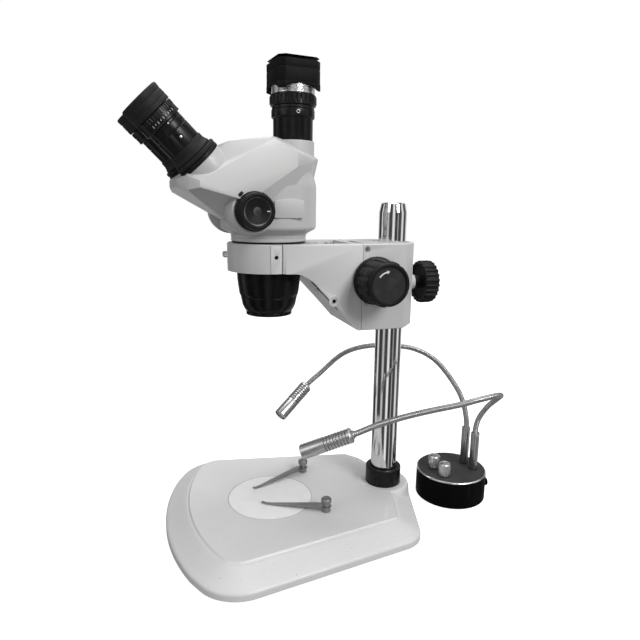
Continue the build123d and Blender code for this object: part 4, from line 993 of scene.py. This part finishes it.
def smooth_route(points):
    """A smooth line through the points, sampled closely, with its running length."""
    spots = [Vector(p) for p in points]
    spots = [spots[0] * 2 - spots[1]] + spots + [spots[-1] * 2 - spots[-2]]
    line = []
    for a, b, c, d in zip(spots, spots[1:], spots[2:], spots[3:]):
        ta, tb, tc = (b - a).length ** 0.5, (c - b).length ** 0.5, (d - c).length ** 0.5
        m1 = ((b - a) / ta - (c - a) / (ta + tb) + (c - b) / tb) * tb
        m2 = ((c - b) / tb - (d - b) / (tb + tc) + (d - c) / tc) * tb
        for i in range(24):
            t = i / 24
            line.append(b * (2 * t ** 3 - 3 * t * t + 1) + m1 * (t ** 3 - 2 * t * t + t)
                        + c * (3 * t * t - 2 * t ** 3) + m2 * (t ** 3 - t * t))
    line.append(spots[-2])
    return line


class MICROSCOPE_OT_lamp_arms(bpy.types.Operator):
    """Builds the two ridged flexible arms, each one curved piece in place of its lower and upper halves"""
    bl_idname = "microscope.lamp_arms"
    bl_label = "Flexible arms"

    def execute(self, context):
        pitch = context.scene.lamp_sizes.ridge * 1000
        for word, points in ARM_ROUTES.items():
            rear, tip = (Vector(p) for p in LAMPS[word])
            ahead = (tip - rear).normalized()
            route = smooth_route(points + [rear - ahead * 4, rear + ahead * 9])
            length = sum((b - a).length for a, b in zip(route, route[1:]))
            count = int(length / pitch)
            outline = [(0, 0)]
            for i in range(count):
                z = i * pitch
                outline += [(NECK_ROOT, z), (NECK_R, z + pitch * 0.32), (NECK_R, z + pitch * 0.68)]
            outline += [(NECK_ROOT, count * pitch), (0, count * pitch)]
            bm = bmesh.new()
            lathe(bm, Matrix.Identity(4), outline, 0, 0.0, 14)
            # the straight ridged rod is laid along the route
            reach, total = [0.0], 0.0
            for a, b in zip(route, route[1:]):
                total += (b - a).length
                reach.append(total)
            frames = []
            across = X.copy()
            for i, spot in enumerate(route):
                way = (route[min(i + 1, len(route) - 1)] - route[max(i - 1, 0)]).normalized()
                across = (across - way * across.dot(way)).normalized()
                frames.append((spot, across.copy(), way.cross(across), way))
            index = 0
            for vert in sorted(bm.verts, key=lambda v: v.co.z):
                while index < len(reach) - 2 and reach[index + 1] < vert.co.z:
                    index += 1
                t = (vert.co.z - reach[index]) / max(reach[index + 1] - reach[index], 1e-6)
                spot, u, v, _ = (a.lerp(b, t) for a, b in zip(frames[index], frames[index + 1]))
                vert.co = spot + u.normalized() * vert.co.x + v.normalized() * vert.co.y
            bmesh.ops.transform(bm, matrix=COLUMN, verts=bm.verts)
            bmesh.ops.recalc_face_normals(bm, faces=bm.faces)
            arm = piece(f"flexible_arm_{word}", bm, ["Flexible steel"], None, "steel",
                        f"lamp_arm_{word}_lower", f"lamp_arm_{word}_upper", crease=60)
            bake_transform(arm)
        return {"FINISHED"}


class MICROSCOPE_OT_lamps(bpy.types.Operator):
    """Builds the two lamp heads with cooling ribs, a smooth nose and a domed lens"""
    bl_idname = "microscope.lamps"
    bl_label = "Lamp heads"

    def execute(self, context):
        ribs = context.scene.lamp_sizes.ribs
        for word, (rear, tip) in LAMPS.items():
            rear, tip = Vector(rear), Vector(tip)
            size = (tip - rear).length
            where = within(COLUMN, rear, tip - rear, X)
            bm = bmesh.new()
            outline = [(3.4, 0.5), (5.9, 0.5), (7.6, 1.2), (8.3, 2.4), (8.3, 5.0)]
            step = (size * 0.56 - 5.0) / ribs
            for i in range(ribs):
                z = 5.0 + i * step
                outline += [(8.3, z), (6.5, z + 0.3), (6.5, z + step * 0.45), (8.3, z + step * 0.45 + 0.3)]
            outline += [(8.3, size - 0.8), (7.7, size), (7.0, size), (7.0, size - 3.4), (5.4, size - 3.8),
                        (5.2, size - 5), (3, size - 5)]
            lathe(bm, where, outline, 0, 0.2, 64)
            lathe(bm, where, [(3.3, -1.6), (4.4, -1.6), (4.6, 0.6), (3.3, 0.7)], 0, 0.15, 32)
            piece(f"lamp_case_{word}", bm, ["Lamp steel"], f"{word}_lamp", "steel", f"lamp_head_{word}")
            bm = bmesh.new()
            lathe(bm, where, [(0, size - 5), (7.1, size - 5), (7.1, size - 3.3), (5.6, size - 3.0), (5.2, size - 2.7),
                              (3.4, size - 1.8), (0, size - 1.3)], 0, 0.2, 48)
            piece(f"lamp_dome_{word}", bm, ["Lamp glass"], f"{word}_lamp", "glass", f"lamp_lens_{word}")
        return {"FINISHED"}


class MICROSCOPE_OT_stage(bpy.types.Operator):
    """Adds the floor, the lights and the camera"""
    bl_idname = "microscope.stage"
    bl_label = "Studio"

    def execute(self, context):
        sizes = context.scene.stage_sizes
        bm = bmesh.new()
        bmesh.ops.create_grid(bm, x_segments=1, y_segments=1, size=sizes.floor_size / 2)
        mesh = bpy.data.meshes.new("studio_floor")
        bm.to_mesh(mesh)
        bm.free()
        floor = bpy.data.objects.new("studio_floor", mesh)
        context.scene.collection.objects.link(floor)
        paper = bpy.data.materials.new("Studio floor")
        paper.use_nodes = True
        shader = next(n for n in paper.node_tree.nodes if n.type == "BSDF_PRINCIPLED")
        shader.inputs["Roughness"].default_value = 0.9
        shader.inputs["Specular IOR Level"].default_value = 0.0
        shader.inputs["Emission Strength"].default_value = 0.95
        rays = node(paper.node_tree, "LightPath").outputs["Is Camera Ray"]
        seen = mix_colour(paper.node_tree, rays, (0.2, 0.2, 0.2, 1), tuple(sizes.floor_colour))
        glow = mix_colour(paper.node_tree, rays, (0, 0, 0, 1), (1, 1, 1, 1))
        paper.node_tree.links.new(seen, shader.inputs["Base Color"])
        # shiny pieces see the studio's dark and bright cards below the horizon too
        clear = node(paper.node_tree, "BsdfTransparent")
        glossy = node(paper.node_tree, "LightPath").outputs["Is Glossy Ray"]
        either = node(paper.node_tree, "MixShader", [(0, glossy), (1, shader.outputs["BSDF"]),
                                                     (2, clear.outputs["BSDF"])])
        end = next(n for n in paper.node_tree.nodes if n.type == "OUTPUT_MATERIAL")
        paper.node_tree.links.new(either.outputs["Shader"], end.inputs["Surface"])
        paper.node_tree.links.new(glow, shader.inputs["Emission Color"])
        mesh.materials.append(paper)

        world = bpy.data.worlds.new("Studio")
        world.use_nodes = True
        tree = world.node_tree
        back = next(n for n in tree.nodes if n.type == "BACKGROUND")
        place = node(tree, "TexCoord").outputs["Generated"]
        parts = node(tree, "SeparateXYZ", [(0, place)])
        around = node(tree, "Math", [(0, parts.outputs["Y"]), (1, parts.outputs["X"])], operation="ARCTAN2")
        turn = node(tree, "MapRange", [("Value", around.outputs[0]), ("From Min", -math.pi), ("From Max", math.pi)])
        bands = node(tree, "ValToRGB", [("Fac", turn.outputs["Result"])])
        ramp = bands.color_ramp
        ramp.elements[0].position, ramp.elements[0].color = 0.0, (0.75, 0.75, 0.75, 1)
        ramp.elements[1].position, ramp.elements[1].color = 1.0, (0.75, 0.75, 0.75, 1)
        for spot, value in ((0.03, 0.5), (0.06, 0.05), (0.14, 0.04), (0.16, 0.9), (0.19, 0.9), (0.21, 0.06),
                            (0.29, 0.05), (0.31, 0.6), (0.34, 0.6), (0.36, 0.07), (0.42, 0.06), (0.44, 1.0),
                            (0.475, 1.0), (0.49, 0.05), (0.535, 0.04), (0.545, 0.55), (0.575, 0.55), (0.585, 0.06),
                            (0.64, 0.08), (0.66, 0.9), (0.70, 0.9), (0.72, 0.08), (0.80, 0.1), (0.82, 0.8),
                            (0.88, 0.8), (0.90, 0.15)):
            ramp.elements.new(spot).color = (value, value, value, 1)
        rays = node(tree, "LightPath")
        shown = mix_colour(tree, rays.outputs["Is Glossy Ray"], (0.36, 0.36, 0.36, 1), bands.outputs["Color"])
        shown = mix_colour(tree, rays.outputs["Is Camera Ray"], shown, (1.0, 1.0, 1.0, 1))
        tree.links.new(shown, back.inputs["Color"])
        back.inputs["Strength"].default_value = 1.0
        context.scene.world = world

        for name, spot, aim, size, power in (
                ("key_light", (1.7, 0.8, 1.5), (0, -0.05, 0.25), 1.0, 33),
                ("fill_light", (0.7, -1.7, 1.1), (0, 0, 0.25), 1.2, 7),
                ("top_light", (-0.3, 0.1, 2.2), (0, 0, 0.2), 1.4, 18)):
            light = bpy.data.lights.new(name, "AREA")
            light.shape = "DISK"
            light.size = size
            light.energy = power
            lamp = bpy.data.objects.new(name, light)
            lamp.location = spot
            lamp.rotation_euler = (Vector(aim) - Vector(spot)).to_track_quat("-Z", "Y").to_euler()
            context.scene.collection.objects.link(lamp)

        lens = bpy.data.cameras.new("view")
        lens.lens, lens.sensor_width, lens.clip_start, lens.clip_end = 30.7, 36.0, 0.01, 50
        camera = bpy.data.objects.new("view", lens)
        yaw, pitch, roll = (math.radians(a) for a in (17.53, 11.72, 0.74))
        ahead = Vector((-math.cos(yaw) * math.cos(pitch), math.sin(yaw) * math.cos(pitch), -math.sin(pitch)))
        right = ahead.cross(Z).normalized()
        up = right.cross(ahead)
        tilted = right * math.cos(roll) + up * math.sin(roll)
        up = up * math.cos(roll) - right * math.sin(roll)
        turned = Matrix((tilted, up, -ahead)).transposed().to_4x4()
        turned.translation = (0.5912, -0.1932, 0.3686)
        camera.matrix_world = turned
        context.scene.collection.objects.link(camera)
        context.scene.camera = camera
        context.scene.view_settings.view_transform = "Standard"
        return {"FINISHED"}


BUILDERS = [
    MICROSCOPE_OT_stage, MICROSCOPE_OT_plain_nodes, MICROSCOPE_OT_base, MICROSCOPE_OT_stage_plate,
    MICROSCOPE_OT_collar, MICROSCOPE_OT_clips, MICROSCOPE_OT_block, MICROSCOPE_OT_arm, MICROSCOPE_OT_clamp,
    MICROSCOPE_OT_focus_knobs, MICROSCOPE_OT_objective, MICROSCOPE_OT_head, MICROSCOPE_OT_zoom_knobs,
    MICROSCOPE_OT_eyes, MICROSCOPE_OT_camera_unit, MICROSCOPE_OT_lamp_base, MICROSCOPE_OT_lamp_arms,
    MICROSCOPE_OT_lamps,
]
SIZES = {"stand_sizes": StandSizes, "head_sizes": HeadSizes, "lamp_sizes": LampSizes, "stage_sizes": StageSizes}


class MICROSCOPE_PT_parts(bpy.types.Panel):
    """Lists the sizes and the builders"""
    bl_idname = "MICROSCOPE_PT_parts"
    bl_label = "Stereo microscope"
    bl_space_type = "VIEW_3D"
    bl_region_type = "UI"
    bl_category = "Microscope"

    def draw(self, context):
        for name, group in SIZES.items():
            sizes = getattr(context.scene, name)
            for key in group.__annotations__:
                self.layout.prop(sizes, key)
        for builder in BUILDERS:
            self.layout.operator(builder.bl_idname)


def register():
    for group in SIZES.values():
        bpy.utils.register_class(group)
    for builder in BUILDERS:
        bpy.utils.register_class(builder)
    bpy.utils.register_class(MICROSCOPE_PT_parts)
    for name, group in SIZES.items():
        setattr(bpy.types.Scene, name, bpy.props.PointerProperty(type=group))


def unregister():
    for name in SIZES:
        delattr(bpy.types.Scene, name)
    bpy.utils.unregister_class(MICROSCOPE_PT_parts)
    for builder in reversed(BUILDERS):
        bpy.utils.unregister_class(builder)
    for group in SIZES.values():
        bpy.utils.unregister_class(group)


def main():
    register()
    for builder in BUILDERS:
        group, name = builder.bl_idname.split(".")
        getattr(getattr(bpy.ops, group), name)()


if __name__ == "__main__":
    main()
